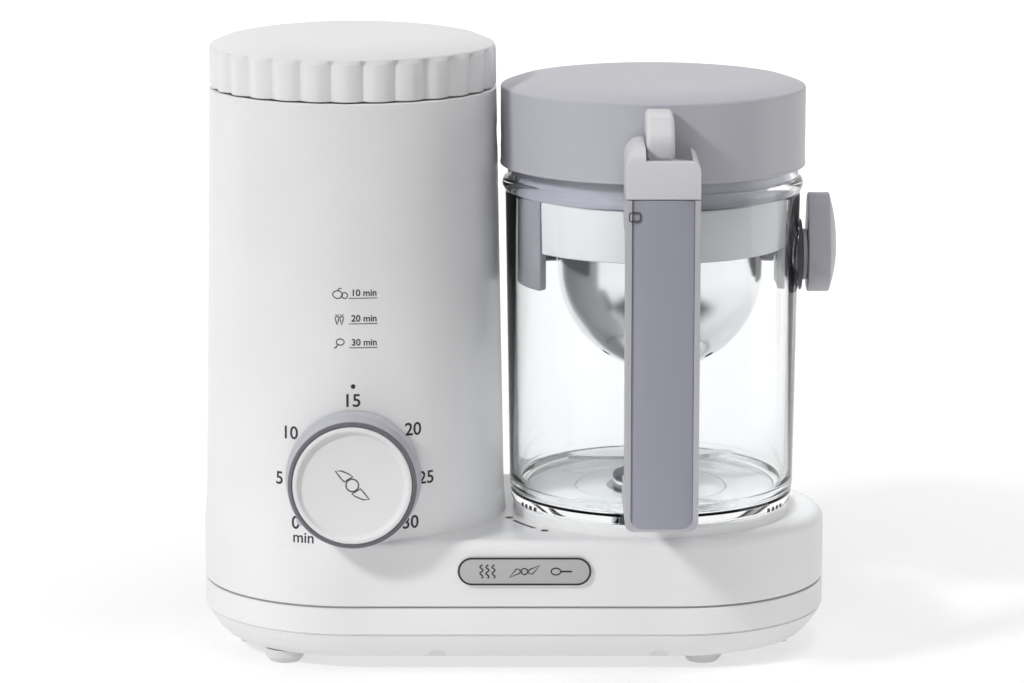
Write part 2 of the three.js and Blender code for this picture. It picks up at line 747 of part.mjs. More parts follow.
piece(atJug, "carrier_ring", carrierRing(), GREY);
piece(atJug, "collar_ring", collarRing(), WHITE);
piece(atJug, "pivot_bushing", pivotBushing(), DARK_GREY);

// -------------------- steaming bowl that flips over into the jug

const atBowl = group(atJug, pivot.bowlOffset, 0, pivot.z);

function bowlProfile(radius, facets) {
  const points = [];
  for (let i = 0; i <= facets; i++) {
    const angle = (i / facets) * (Math.PI / 2);
    points.push([radius * Math.sin(angle), -pivot.bowlDrop - radius * Math.cos(angle)]);
  }
  return points;
}

function steamBowl() {
  const { bowlRadius: r } = pivot;
  const [rim, rolled] = [pivot.bowlRim - pivot.z, r + 2];
  const shell = turned([
    ...bowlProfile(r, 6), [r, rim - 1.5], [rolled, rim - 1.5], [rolled, rim], [r - 1, rim],
    ...bowlProfile(r - 1, 6).reverse(),
  ]);
  const holes = [];
  for (let i = 0; i < steamHoles.count; i++) {
    const turn = ((i + 0.35) / steamHoles.count) * 2 * Math.PI;
    const drill = disc(steamHoles.radius, -r - steamHoles.bore / 2, -r + steamHoles.bore, SMALL);
    holes.push(drill.rotateX(steamHoles.tilt).rotateZ(turn).translate(0, 0, -pivot.bowlDrop));
  }
  return cut(shell, ...holes);
}

function bowlPivotLeft() {
  const reach = arm.outer + pivot.bowlOffset;
  const shoulder = arm.inner - 0.6 + pivot.bowlOffset;
  const wall = pivot.bowlRadius + GAP;
  return toRight(turned([
    [0, -reach], [3.5, -reach], [3.5, -shoulder], [6, -shoulder], [6, -wall], [0, -wall],
  ], SMALL));
}

function bowlSocketRight() {
  const wall = pivot.bowlRadius + GAP;
  return toRight(ring(3.6, 6, wall, 51, SMALL));
}

piece(atBowl, "steam_bowl", steamBowl(), STEEL);
piece(atBowl, "bowl_pivot_left", bowlPivotLeft(), DARK_GREY);
piece(atBowl, "bowl_socket_right", bowlSocketRight(), DARK_GREY);

// -------------------- flip knob on the right of the jug

const atKnob = group(atJug, 0, 0, pivot.z);

// A drop shape: a large circle round the pivot and a small one above it, joined by their tangents.
function dropOutline() {
  const { low: big, tipRadius: small } = knob;
  const rise = knob.high - small;
  const lean = Math.asin((big - small) / rise);
  const outline = new THREE.Shape();
  outline.absarc(0, 0, big, Math.PI - lean, 2 * Math.PI + lean);
  outline.absarc(0, rise, small, lean, Math.PI - lean);
  return outline.getPoints(12);
}

// A thick plate with that outline, whose outer face swells into a shallow dome.
function flipKnob() {
  const { inner, flat, outer, domeZ } = knob;
  const layers = [[1, inner], [1, flat]];
  for (const share of [0.8, 0.55, 0.25]) layers.push([share, outer - (outer - flat) * share ** 2]);
  const points = layers.flatMap(([share, x]) =>
    dropOutline().map((at) => new THREE.Vector3(x, at.x * share, domeZ + (at.y - domeZ) * share)),
  );
  const socket = toRight(disc(pivot.neck + 0.4, inner - 1, inner + 4, MEDIUM));
  return cut(new ConvexGeometry(points), socket);
}

function knobShaft() {
  const [tip, step, end] = [50, 62, knob.inner + 3.7];
  const [thin, thick] = [3.2, pivot.neck];
  return toRight(turned([
    [0, tip], [thin, tip], [thin, step], [thick, step], [thick, end], [0, end],
  ], MEDIUM));
}

const knobCollar = () => toRight(ring(pivot.neck + GAP, 11.3, 66.3, knob.inner - GAP, MEDIUM));

piece(atKnob, "flip_knob", flipKnob(), GREY);
piece(atKnob, "knob_shaft", knobShaft(), DARK_GREY);
piece(atKnob, "knob_collar", knobCollar(), SILICONE);

// -------------------- blade assembly in the jug floor

const blade = { shaft: 3.2, hubLow: 80.4, hubHigh: 89, reach: 37, width: 11, thickness: 1.6 };

function bladeShaft() {
  return turned([[0, 65.3], [2.6, 65.3], [blade.shaft, 66], [blade.shaft, 86], [0, 86]], SMALL);
}

function bladeDriver() {
  const plate = disc(11, 63, 64.9, MEDIUM);
  const fin = [4.5, 11];
  const low = drive.discHigh + 0.4;
  return join(
    plate,
    block([-1.5, 1.5], fin, [low, 63.5]),
    block([-1.5, 1.5], [-fin[1], -fin[0]], [low, 63.5]),
  );
}

function bladeHub() {
  const { shaft, hubLow, hubHigh } = blade;
  const wide = 6.4;
  const body = turned([
    [0, hubLow], [wide, hubLow], [wide, hubHigh - 3], [wide - 3, hubHigh], [0, hubHigh],
  ], SMALL);
  return cut(body, disc(shaft + GAP, hubLow - 1, 86.4, SMALL));
}

// Two swept wings from a ring round the hub, tilted up or down.
function bladePair(low, tilt) {
  const { reach, width, thickness } = blade;
  const wing = new THREE.Shape();
  wing.moveTo(4, -width / 2);
  wing.quadraticCurveTo(reach * 0.7, -width / 2, reach, width / 2);
  wing.quadraticCurveTo(reach * 0.6, width / 2, 4, width / 2);
  const flat = extruded(wing, low, low + thickness, 5);
  const fold = 7.5; // each wing bends up along this line
  const bent = flat.translate(-fold, 0, -low).rotateY(-tilt).translate(fold, 0, low);
  const raised = (turn) => bent.clone().rotateZ(turn);
  const collar = disc(9, low, low + thickness, MEDIUM);
  return cut(join(collar, raised(0), raised(Math.PI)), disc(7.1, 60, 100, SMALL));
}

piece(atJug, "blade_shaft", bladeShaft(), STEEL);
piece(atJug, "blade_driver", bladeDriver(), BLACK);
piece(atJug, "blade_hub", bladeHub(), DARK_GREY);
piece(atJug, "blade_lower", bladePair(81, 0.02), STEEL);
piece(atJug, "blade_upper", bladePair(84, 0.42).rotateZ(Math.PI / 2), STEEL);

// -------------------- jug lid and the finger that locks it to the handle

const liner = { radius: 64.3, bottom: 219.4, top: 249.2, wall: 1.8 };

// The steam enters through the lid's left side, opposite the nozzle in the tower.
const steamVent = () => toRight(disc(4, -80, -50, SMALL)).translate(0, 0, lid.steamZ);

function lidDome() {
  const { radius: r, bottom, top, wall } = lid;
  const ceiling = top - wall;
  const shell = turned([
    [r - wall, bottom], [r, bottom], [r, top - 4], [r - 1.4, top - 1.2], [r - 4.5, top - 0.4], [30, top],
    [0, top], [0, ceiling], [r - 5, ceiling - 0.6], [r - wall, ceiling - 2],
  ]);
  return cut(shell, steamVent());
}

function lidLiner() {
  const { radius: r, bottom, top, wall } = liner;
  const ceiling = top - wall;
  const shell = turned([
    [r - wall, bottom], [r, bottom], [r, top - 1.5], [r - 3, top], [0, top],
    [0, ceiling], [r - 4, ceiling], [r - wall, top - 4],
  ]);
  return cut(shell, steamVent());
}

// The finger leaves the lid's skirt near the top, arches forward and drops into the handle cap.
function lidFinger() {
  const root = -lid.radius - 0.5;
  const [out, tip, thickness] = [-99.5, 230.3, 12];
  const shape = new THREE.Shape();
  shape.moveTo(root, 248.2);
  shape.quadraticCurveTo(out + 6, 249.4, out, 239.5);
  shape.lineTo(out, tip);
  shape.lineTo(out + thickness, tip);
  shape.quadraticCurveTo(out + thickness + 1, 237.4, root, 237);
  return acrossX(shape, [-5.9, 5.9], 5);
}

piece(atJug, "lid_dome", lidDome(), GREY);
piece(atJug, "lid_liner", lidLiner(), WHITE);
piece(atJug, "lid_gasket", ring(59, 64, 217.3, liner.bottom - GAP), SILICONE);
piece(atJug, "lid_finger", lidFinger(), LIGHT_GREY);

// -------------------- origin: centre of the footprint, on the ground

const bounds = new THREE.Box3().setFromObject(machine);
const middle = bounds.getCenter(new THREE.Vector3());
machine.position.set(-middle.x, -middle.y, -bounds.min.z);

export default machine;
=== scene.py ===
"""A white and grey baby food maker: a steam tower with a timer dial beside a clear blending jug.

Geometry below is written in millimetres round the part's own axes, which are read from the frame.
"""

import math

import bmesh
import bpy
from mathutils import Matrix, Vector


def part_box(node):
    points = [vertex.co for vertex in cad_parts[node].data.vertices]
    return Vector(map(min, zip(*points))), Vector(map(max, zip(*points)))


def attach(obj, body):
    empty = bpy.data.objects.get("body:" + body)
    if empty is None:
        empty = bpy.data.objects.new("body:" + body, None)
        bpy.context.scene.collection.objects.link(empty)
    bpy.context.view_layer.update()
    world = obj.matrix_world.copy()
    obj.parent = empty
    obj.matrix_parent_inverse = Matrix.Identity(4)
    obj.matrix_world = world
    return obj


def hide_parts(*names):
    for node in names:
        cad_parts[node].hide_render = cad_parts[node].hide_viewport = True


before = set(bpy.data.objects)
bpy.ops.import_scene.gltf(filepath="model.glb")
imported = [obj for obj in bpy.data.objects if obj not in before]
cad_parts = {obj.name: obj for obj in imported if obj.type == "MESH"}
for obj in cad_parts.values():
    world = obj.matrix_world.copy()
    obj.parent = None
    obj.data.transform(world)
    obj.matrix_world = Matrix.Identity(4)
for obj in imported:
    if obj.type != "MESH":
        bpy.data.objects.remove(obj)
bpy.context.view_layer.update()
SCENE = bpy.context.scene
MM = 0.001

# ---- places, read from the frame, in mm


def low(node):
    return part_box(node)[0] / MM


def high(node):
    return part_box(node)[1] / MM


def middle(node):
    return (low(node) + high(node)) / 2


TOWER = Vector((middle("tank_lid").x, middle("tank_lid").y, 0))
JUG = Vector((middle("lid_dome").x, middle("lid_dome").y, 0))
BASE = Vector((middle("base_tray").x, TOWER.y, 0))
DIAL = Vector((middle("dial_cap").x, TOWER.y, middle("dial_cap").z))
PIVOT = Vector((JUG.x, JUG.y, middle("knob_collar").z))
PIVOT_UP = PIVOT - JUG
BADGE = Vector((middle("badge_plate").x, TOWER.y, middle("badge_plate").z))
GLAND = middle("cord_gland")
STEAM_Z = middle("steam_nozzle").z

# ---- driving dimensions, mm

BASE_HALF = 71.0  # half the straight part of the stadium outline
BASE_R = 67.2
TRAY_LOW, TRAY_CREASE, SEAM, DECK = 6.2, 18.0, 30.5, 60.0
DECK_EDGE = 4.0
WALL = 2.8
BADGE_RISE = 1.5
NOTCHES, NOTCH_R = (-33.6, 63.0), 4.2
GLAND_HOLE_R = 6.3
FOOT_R = 8.5

WAIST, WAIST_R = 85.0, 66.0
TOWER_TOP, TOWER_TOP_R = 249.6, 63.1
TOWER_WALL = 2.4
LEDGE, LEDGE_HEIGHT, LEDGE_WIDTH = 239.0, 3.7, 2.5
SEAT_R, SEAT_TOP, SEAT_BORE = 61.5, 64.5, 34.0

DIAL_FRONT, DIAL_BACK = -84.0, -66.9
DIAL_R, SKIRT_R, FACE_R = 28.0, 29.25, 25.6
POINTER_TURN = 130  # from the top, anticlockwise to the scale's zero
SCALE_R, DOT_RISE = 33.2, 39.6  # the minute numbers and the dot over them, from the dial's axis
SCALE_TURNS = {0: 220, 5: 184, 10: 147, 15: 90, 20: 36, 25: -4, 30: -40}  # minutes to degrees
FRUIT_Z, ROOTS_Z, MEAT_Z = 167.9, 156.8, 146.4  # the three steaming times on the tower
LOCK_MARK_R, LOCK_OPEN, LOCK_SHUT = 67.2, -159, -137  # on the deck, round the jug

COVER_LOW, COVER_RIM, COVER_TOP, COVER_BORE_R = 250.2, 268.4, 274.3, 60.4
FLUTES, FLUTE_DEPTH = 28, 2.2

JUG_LOW, JUG_FLOOR, JUG_FOOT_R, JUG_WALL_R, JUG_BORE_R = 64.8, 70.5, 62.6, 65.1, 14.2
BEAD_LOW, BEAD_HIGH, BEAD_R, BEAD_BULGE = 204.0, 210.0, 66.4, 2.3
TICK_LOW, TICK_HIGH, TICK_GROUPS = 65.7, 67.5, {"left": -151, "right": -31}  # on the jug's foot
NECK_R, JUG_RIM = 64.2, 214.9
LID_R, LID_LOW, LID_TOP, LID_WALL = 67.2, 215.5, 253.2, 2.4
FINGER_OUT, FINGER_TIP, FINGER_THICK, FINGER_HALF = -99.5, 230.3, 12.0, 5.9

HANDLE_LEFT, HANDLE_RIGHT = -14.6, 16.4  # from the jug's axis
HANDLE_FRONT, HANDLE_BACK, HANDLE_ROOT = -111.0, -93.0, -69.2
HANDLE_LOW, HANDLE_TOP, ARM_DEPTH = 72.8, 215.9, 17.0
CAP_LIP, CAP_TOP, SLOT_FLOOR = 232.0, 237.0, 227.0
SLOT_LEFT, SLOT_RIGHT, LIP_DEPTH = -6.5, 13.4, 4.5
PANEL_CROWN_R = 82.0  # the grip's front panel is slightly rounded from side to side
ROD_X, ROD_Y = middle("interlock_rod").x - JUG.x, -100.0

CARRIER_LOW, CARRIER_LIP, CARRIER_TOP = 203.0, 215.3, 217.0
COLLAR_LOW, COLLAR_TOP, COLLAR_R, COLLAR_BORE_R = 180.0, 202.6, 60.6, 56.4
ARM_INNER, ARM_OUTER, ARM_SPREAD = 57.0, 60.7, 0.62
LEFT_ARM_LOW, RIGHT_ARM_LOW = 163.8, 158.0
BOWL_R, BOWL_SHIFT, BOWL_DROP, BOWL_RIM, BOWL_WALL = 46.0, 3.6, 7.0, 190.0, 1.0
STEAM_HOLES, STEAM_HOLE_R, STEAM_HOLE_LEAN = 10, 2.1, 0.66

KNOB_INNER, KNOB_FLAT, KNOB_OUTER = 68.4, 78.0, 81.4
KNOB_LOW_R, KNOB_TIP_R, KNOB_HIGH = 16.5, 8.5, 27.7
NECK_BORE = 8.0

ROUND = 160  # facets round the large pieces
FINE = 96


# ---- mesh helpers


def mesh_object(name, verts, faces):
    mesh = bpy.data.meshes.new(name)
    mesh.from_pydata([Vector(v) * MM for v in verts], [], faces)
    mesh.validate()
    obj = bpy.data.objects.new(name, mesh)
    SCENE.collection.objects.link(obj)
    return obj


def baked(obj):
    """Applies the object's modifiers to its mesh."""
    graph = bpy.context.evaluated_depsgraph_get()
    mesh = bpy.data.meshes.new_from_object(obj.evaluated_get(graph))
    obj.modifiers.clear()
    obj.data = mesh
    mesh.name = obj.name
    return obj


def combined(obj, operation, tools):
    for tool in tools:
        modifier = obj.modifiers.new("combine", "BOOLEAN")
        modifier.operation = operation
        modifier.solver = "EXACT"
        modifier.object = tool
    baked(obj)
    for tool in tools:
        bpy.data.objects.remove(tool)
    return obj


def cut(obj, *tools):
    return combined(obj, "DIFFERENCE", tools)


def joined(obj, *tools):
    return combined(obj, "UNION", tools)


def moved(obj, offset=(0, 0, 0), matrix=None):
    """Moves the mesh itself, so that the object stays at the origin."""
    if matrix is not None:
        obj.data.transform(matrix)
    obj.data.transform(Matrix.Translation(Vector(offset) * MM))
    return obj


TO_FRONT = Matrix.Rotation(math.pi / 2, 4, "X")  # +Z becomes -Y
TO_RIGHT = Matrix.Rotation(math.pi / 2, 4, "Y")  # +Z becomes +X
YZ_OUTLINE = Matrix(((0, 0, 1, 0), (1, 0, 0, 0), (0, 1, 0, 0), (0, 0, 0, 1)))  # (x, y) becomes (y, z)


def softened(corners, steps=5):
    """A line of (r, z) or (r, z, radius) corners, each with a radius rounded by an arc of that radius."""
    line = []
    for i, corner in enumerate(corners):
        here = Vector(corner[:2])
        radius = corner[2] if len(corner) > 2 else 0
        if not radius:
            line.append(here)
            continue
        before = (Vector(corners[i - 1][:2]) - here).normalized()
        after = (Vector(corners[(i + 1) % len(corners)][:2]) - here).normalized()
        half = before.angle(after) / 2
        reach = radius / math.tan(half)
        centre = here + (before + after).normalized() * radius / math.sin(half)
        start, end = here + before * reach - centre, here + after * reach - centre
        sweep = start.angle_signed(end)
        for k in range(steps + 1):
            line.append(centre + Matrix.Rotation(-sweep * k / steps, 2) @ start)
    return [(p[0], p[1]) for p in line]


def ring_faces(rings, count, closed=False):
    """Faces between each ring of count points and the next, and from the last to the first if closed."""
    faces = []
    for i in range(rings if closed else rings - 1):
        here, there = i * count, (i + 1) % rings * count
        for k in range(count):
            j = (k + 1) % count
            faces.append([here + k, here + j, there + j, there + k])
    return faces


def turned(name, corners, facets=ROUND, half=0.0, steps=5):
    """A profile turned round Z. It runs up the outside; it ends on the axis, or is closed here.

    With half, each circle is pulled apart along X into a stadium.
    """
    line = softened(corners, steps)
    closed = not (line[0][0] == 0 and line[-1][0] == 0)
    verts, rows = [], []
    for r, z in line:
        if r == 0:
            rows.append([len(verts)] * facets)
            verts.append((0, 0, z))
            continue
        rows.append(list(range(len(verts), len(verts) + facets)))
        for k in range(facets):
            angle = 2 * math.pi * (k + 0.5) / facets
            x = r * math.cos(angle)
            verts.append((x + math.copysign(half, x), r * math.sin(angle), z))
    faces = []
    pairs = list(zip(rows, rows[1:]))
    if closed:
        pairs.append((rows[-1], rows[0]))
    for lower, upper in pairs:
        for k in range(facets):
            j = (k + 1) % facets
            face = [lower[k], lower[j], upper[j], upper[k]]
            faces.append([v for i, v in enumerate(face) if v not in face[:i]])
    return outward(mesh_object(name, verts, faces))


def outward(obj):
    """Turns every face to point out of the solid."""
    mesh = bmesh.new()
    mesh.from_mesh(obj.data)
    bmesh.ops.recalc_face_normals(mesh, faces=mesh.faces)
    mesh.to_mesh(obj.data)
    mesh.free()
    return obj


def disc(name, radius, bottom, top, facets=48):
    return turned(name, [(0, bottom), (radius, bottom), (radius, top), (0, top)], facets)


def prism(name, outline, bottom, top):
    """An outline of (x, y) points raised from bottom to top."""
    count = len(outline)
    verts = [(x, y, z) for z in (bottom, top) for x, y in outline]
    ends = [list(range(count))[::-1], list(range(count, 2 * count))]
    return outward(mesh_object(name, verts, ends + ring_faces(2, count)))


def block(name, xs, ys, zs):
    return prism(name, [(xs[0], ys[0]), (xs[1], ys[0]), (xs[1], ys[1]), (xs[0], ys[1])], *zs)


def side_prism(name, outline, left, right):
    """An outline drawn in (y, z), raised along X from left to right."""
    return outward(moved(prism(name, outline, left, right), matrix=YZ_OUTLINE))


def rounded_box_outline(xs, ys, radius, steps=8):
    corners = [(xs[0], ys[0]), (xs[1], ys[0]), (xs[1], ys[1]), (xs[0], ys[1])]
    return softened([(x, y, radius) for x, y in corners], steps)


def circle_points(x, y, radius, count=28, start=0.0, end=2 * math.pi):
    """Points along an arc; a whole circle leaves out the last, which is the first again."""
    whole = abs(end - start) > 2 * math.pi - 0.001
    steps = count if whole else count - 1
    angles = [start + (end - start) * k / steps for k in range(count)]
    return [(x + radius * math.cos(a), y + radius * math.sin(a)) for a in angles]


def spun(points, angle):
    """The points turned round the origin."""
    cosine, sine = math.cos(angle), math.sin(angle)
    return [(x * cosine - y * sine, x * sine + y * cosine) for x, y in points]


def bevelled(obj, width, segments=4, angle=40):
    modifier = obj.modifiers.new("bevel", "BEVEL")
    modifier.width = width * MM
    modifier.segments = segments
    modifier.limit_method = "ANGLE"
    modifier.angle_limit = math.radians(angle)
    return baked(obj)


def smooth(obj, angle=32):
    """Smooth shading, with a crease where two faces meet at more than the angle."""
    obj.data.shade_smooth()
    obj.data.set_sharp_from_angle(angle=math.radians(angle))
    return obj


def finished(obj, material, body, slot, *nodes, at=None, angle=32):
    """Gives the piece its material and smooth shading, hangs it under its body, hides the CAD nodes that it
    stands for, and puts it at a place.
    """
    if at is not None:
        moved(obj, at)
    obj.data.materials.clear()
    obj.data.materials.append(material)
    smooth(obj, angle)
    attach(obj, body)
    if nodes:
        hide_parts(*nodes)
    return obj


# ---- materials


class Shader:
    """A new material with its Principled node, and short ways to add nodes."""

    def __init__(self, name, colour, roughness, **values):
        self.material = bpy.data.materials.new(name)
        self.material.use_nodes = True
        self.tree = self.material.node_tree
        self.principled = self.tree.nodes["Principled BSDF"]
        self.principled.inputs["Base Color"].default_value = (*colour, 1)
        self.principled.inputs["Roughness"].default_value = roughness
        for key, value in values.items():
            self.principled.inputs[key.replace("_", " ")].default_value = value

    def node(self, kind, **inputs):
        made = self.tree.nodes.new(kind)
        for key, value in inputs.items():
            made.inputs[key.replace("_", " ")].default_value = value
        return made

    def link(self, output, target):
        self.tree.links.new(output, target)

    def place(self, stretch=(1, 1, 1)):
        """Object coordinates in millimetres, stretched along each axis."""
        where = self.node("ShaderNodeTexCoord")
        scaled = self.node("ShaderNodeMapping")
        scaled.inputs["Scale"].default_value = [s / MM for s in stretch]
        self.link(where.outputs["Object"], scaled.inputs["Vector"])
        return scaled.outputs["Vector"]

    def noise(self, size, detail=3, stretch=(1, 1, 1)):
        made = self.node("ShaderNodeTexNoise", Scale=1 / size, Detail=detail)
        self.link(self.place(stretch), made.inputs["Vector"])
        return made.outputs["Fac"]

    def ranged(self, value, start, end, near=0.0, far=1.0):
        """Runs from start to end while the value runs from near to far."""
        made = self.node("ShaderNodeMapRange", From_Min=near, From_Max=far, To_Min=start, To_Max=end)
        self.link(value, made.inputs["Value"])
        return made.outputs["Result"]

    def computed(self, operation, first, second=0.0):
        """A sum on one or two values; each is an output or a number."""
        made = self.node("ShaderNodeMath")
        made.operation = operation
        for value, target in zip((first, second), made.inputs):
            if isinstance(value, (int, float)):
                target.default_value = value
            else:
                self.link(value, target)
        return made.outputs[0]

    def tinted(self, value, first, second):
        """Base colour that runs from first to second with the value."""
        ramp = self.tree.nodes.new("ShaderNodeValToRGB")
        for element, colour, position in zip(ramp.color_ramp.elements, (first, second), (0.3, 0.7)):
            element.color = (*colour, 1)
            element.position = position
        self.link(value, ramp.inputs["Fac"])
        self.link(ramp.outputs["Color"], self.principled.inputs["Base Color"])

    def bumped(self, height, distance, strength=1.0):
        made = self.node("ShaderNodeBump", Strength=strength, Distance=distance * MM)
        self.link(height, made.inputs["Height"])
        self.link(made.outputs["Normal"], self.principled.inputs["Normal"])

    def rough(self, value, start, end):
        self.link(self.ranged(value, start, end), self.principled.inputs["Roughness"])

    def mixed(self, share, other):
        """Gives the surface as much of another shader as the share says."""
        mix = self.node("ShaderNodeMixShader")
        self.link(share, mix.inputs["Fac"])
        self.link(self.principled.outputs["BSDF"], mix.inputs[1])
        self.link(other.outputs["BSDF"], mix.inputs[2])
        self.link(mix.outputs["Shader"], self.tree.nodes["Material Output"].inputs["Surface"])


def shade(colour, factor):
    return tuple(c * factor for c in colour)


def moulded_plastic(name, colour, roughness, grain=0.010, coat=0.0):
    """Injection-moulded plastic: a faint ripple, a very fine grain, slightly uneven tone and gloss."""
    made = Shader(name, colour, roughness, Coat_Weight=coat, Coat_Roughness=0.12)
    made.tinted(made.noise(38, 2), shade(colour, 0.985), shade(colour, 1.015))
    made.rough(made.noise(9, 4), roughness - 0.035, roughness + 0.035)
    fine = made.computed("MULTIPLY", made.noise(0.45, 2), 0.35)
    made.bumped(made.computed("ADD", fine, made.noise(14, 2)), grain)
    return made.material


def clear_plastic(name, tint, roughness=0.015):
    """Clear moulding. The lamps' light passes it, so that it casts no shadow on what is behind it."""
    made = Shader(name, tint, roughness, IOR=1.32, Transmission_Weight=1.0)
    made.bumped(made.noise(30, 1), 0.02)
    path = made.node("ShaderNodeLightPath")
    passing = made.node("ShaderNodeBsdfTransparent", Color=(*shade(tint, 0.97), 1))
    made.mixed(path.outputs["Is Shadow Ray"], passing)
    return made.material


def polished_steel(name, colour, roughness):
    """Drawn and polished stainless steel, with faint rings left by polishing."""
    made = Shader(name, colour, roughness, Metallic=1.0)
    made.rough(made.noise(6, 3, (0.3, 0.3, 2.5)), roughness - 0.03, roughness + 0.05)
    made.bumped(made.noise(1.2, 2, (0.15, 0.15, 3)), 0.0015)
    return made.material


def brushed_metal(name, colour, roughness):
    made = Shader(name, colour, roughness, Metallic=1.0)
    made.rough(made.noise(0.6, 4, (0.1, 2, 2)), roughness - 0.08, roughness + 0.1)
    made.bumped(made.noise(0.5, 3, (0.1, 2, 2)), 0.006)
    return made.material


def soft_rubber(name, colour, roughness):
    made = Shader(name, colour, roughness, Sheen_Weight=0.15, Sheen_Roughness=0.6)
    made.tinted(made.noise(7, 3), shade(colour, 0.94), shade(colour, 1.03))
    made.bumped(made.noise(0.7, 3), 0.02)
    return made.material


def printed_ink(name, colour):
    made = Shader(name, colour, 0.5)
    made.tinted(made.noise(0.8, 2), shade(colour, 0.85), shade(colour, 1.15))
    return made.material


def board_mask(name):
    green = (0.02, 0.12, 0.05)
    made = Shader(name, green, 0.35)
    made.tinted(made.noise(1.5, 1), shade(green, 0.7), shade(green, 1.6))
    made.bumped(made.noise(0.8, 1), 0.03)
    return made.material


WHITE = moulded_plastic("white_moulding", (0.78, 0.78, 0.785), 0.34, coat=0.15)
FACE_WHITE = moulded_plastic("dial_face_white", (0.74, 0.74, 0.745), 0.36)
GREY = moulded_plastic("blue_grey_moulding", (0.35, 0.35, 0.40), 0.38)
LID_GREY = moulded_plastic("pale_blue_grey_moulding", (0.485, 0.485, 0.53), 0.4)
PANEL_GREY = moulded_plastic("blue_grey_panel", (0.335, 0.335, 0.395), 0.36)
LIGHT_GREY = moulded_plastic("light_grey_moulding", (0.68, 0.68, 0.70), 0.38)
# painted shade: a darker copy of the carrier's blue-grey for its left arm, which hangs in the tower's
# shadow inside the glass
ARM_SHADED_GREY = moulded_plastic("carrier_arm_painted_shade", (0.27, 0.275, 0.30), 0.4)
# painted shade: a dimmer copy of the white moulding for the collar, which sits inside the jug's glass
COLLAR_DIMMED_WHITE = moulded_plastic("collar_white_painted_shade", (0.62, 0.62, 0.625), 0.36)
DARK_GREY = moulded_plastic("dark_grey_moulding", (0.075, 0.075, 0.095), 0.42)
BEVEL_GREY = moulded_plastic("dial_bevel_grey", (0.145, 0.145, 0.165), 0.3)
# painted shade: the dark grey set in the gap between the tray and the housing
SEAM_SHADOW_GREY = moulded_plastic("shadow_gap", (0.27, 0.27, 0.275), 0.6)
BADGE_GREY = moulded_plastic("badge_grey", (0.44, 0.44, 0.445), 0.38)
BLACK = moulded_plastic("black_moulding", (0.018, 0.018, 0.02), 0.45)
CLEAR = clear_plastic("clear_jug", (0.97, 0.98, 0.985))
TANK_CLEAR = clear_plastic("clear_tank", (0.93, 0.95, 0.97), 0.08)
STEEL = polished_steel("polished_steel", (0.82, 0.825, 0.83), 0.16)
# painted shade: the bowl's inside, darkened so that its inner faces and the steam holes read dark
BOWL_INSIDE_SHADE = polished_steel("steel_inside_painted_shade", (0.16, 0.16, 0.165), 0.35)
BLADE_STEEL = polished_steel("ground_steel", (0.66, 0.665, 0.67), 0.22)
BRUSHED = brushed_metal("brushed_steel", (0.56, 0.565, 0.57), 0.34)
CAST = brushed_metal("cast_aluminium", (0.60, 0.61, 0.63), 0.5)
SILICONE = soft_rubber("silicone", (0.70, 0.71, 0.72), 0.55)
RUBBER = soft_rubber("foot_rubber", (0.66, 0.66, 0.66), 0.7)
INK = printed_ink("dark_print", (0.035, 0.035, 0.038))
GREY_INK = printed_ink("grey_print", (0.10, 0.10, 0.105))
GREEN = board_mask("circuit_board")

# ---- camera, lights and floor


CAMERA_AWAY, CAMERA_HEIGHT, CAMERA_DOWN = 1.8, 0.4848, 11.0  # metres, metres, degrees
ROOM_LEVEL, BACKDROP_LEVEL = 0.12, 1.0
PAPER = (0.55, 0.55, 0.55)
PAPER_GLOW, PAPER_BOUNCE = (0.5, 0.95), (0.34, 0.1)  # near the machine, and far from it


def camera():
    data = bpy.data.cameras.new("camera")
    data.lens = 145.05
    made = bpy.data.objects.new("camera", data)
    made.location = (BASE.x * MM - 0.0009, BASE.y * MM - CAMERA_AWAY, CAMERA_HEIGHT)
    made.rotation_euler = (math.radians(90 - CAMERA_DOWN), 0, 0)
    SCENE.collection.objects.link(made)
    SCENE.camera = made


def area_light(name, azimuth, height, distance, size, power, aim=0.13, spread=180):
    """A rectangular lamp aimed at a height on the machine. Azimuth 0 is in front and 90 on the right."""
    data = bpy.data.lights.new(name, "AREA")
    data.shape = "RECTANGLE"
    data.size, data.size_y = size
    data.energy = power
    data.spread = math.radians(spread)
    made = bpy.data.objects.new(name, data)
    turn = math.radians(azimuth)
    target = Vector((0, 0, aim))
    made.location = (distance * math.sin(turn), -distance * math.cos(turn), height)
    made.rotation_euler = (target - made.location).to_track_quat("-Z", "Y").to_euler()
    SCENE.collection.objects.link(made)
    return made


def white_sky():
    """A bright backdrop behind the machine and a dimmer room round it; the camera sees plain white."""
    world = bpy.data.worlds.new("studio")
    SCENE.world = world
    world.use_nodes = True
    nodes, link = world.node_tree.nodes, world.node_tree.links.new
    background = nodes["Background"]
    where = nodes.new("ShaderNodeTexCoord")
    split = nodes.new("ShaderNodeSeparateXYZ")
    level = nodes.new("ShaderNodeMapRange")
    level.interpolation_type = "SMOOTHSTEP"
    limits = {"From Min": 0.45, "From Max": 0.85, "To Min": ROOM_LEVEL, "To Max": BACKDROP_LEVEL}
    for key, value in limits.items():
        level.inputs[key].default_value = value
    path = nodes.new("ShaderNodeLightPath")
    pick = nodes.new("ShaderNodeMix")
    pick.inputs["B"].default_value = 1.0
    link(where.outputs["Generated"], split.inputs["Vector"])
    link(split.outputs["Y"], level.inputs["Value"])
    link(path.outputs["Is Camera Ray"], pick.inputs["Factor"])
    link(level.outputs["Result"], pick.inputs["A"])
    link(pick.outputs["Result"], background.inputs["Strength"])
    background.inputs["Color"].default_value = (1, 1, 1, 1)


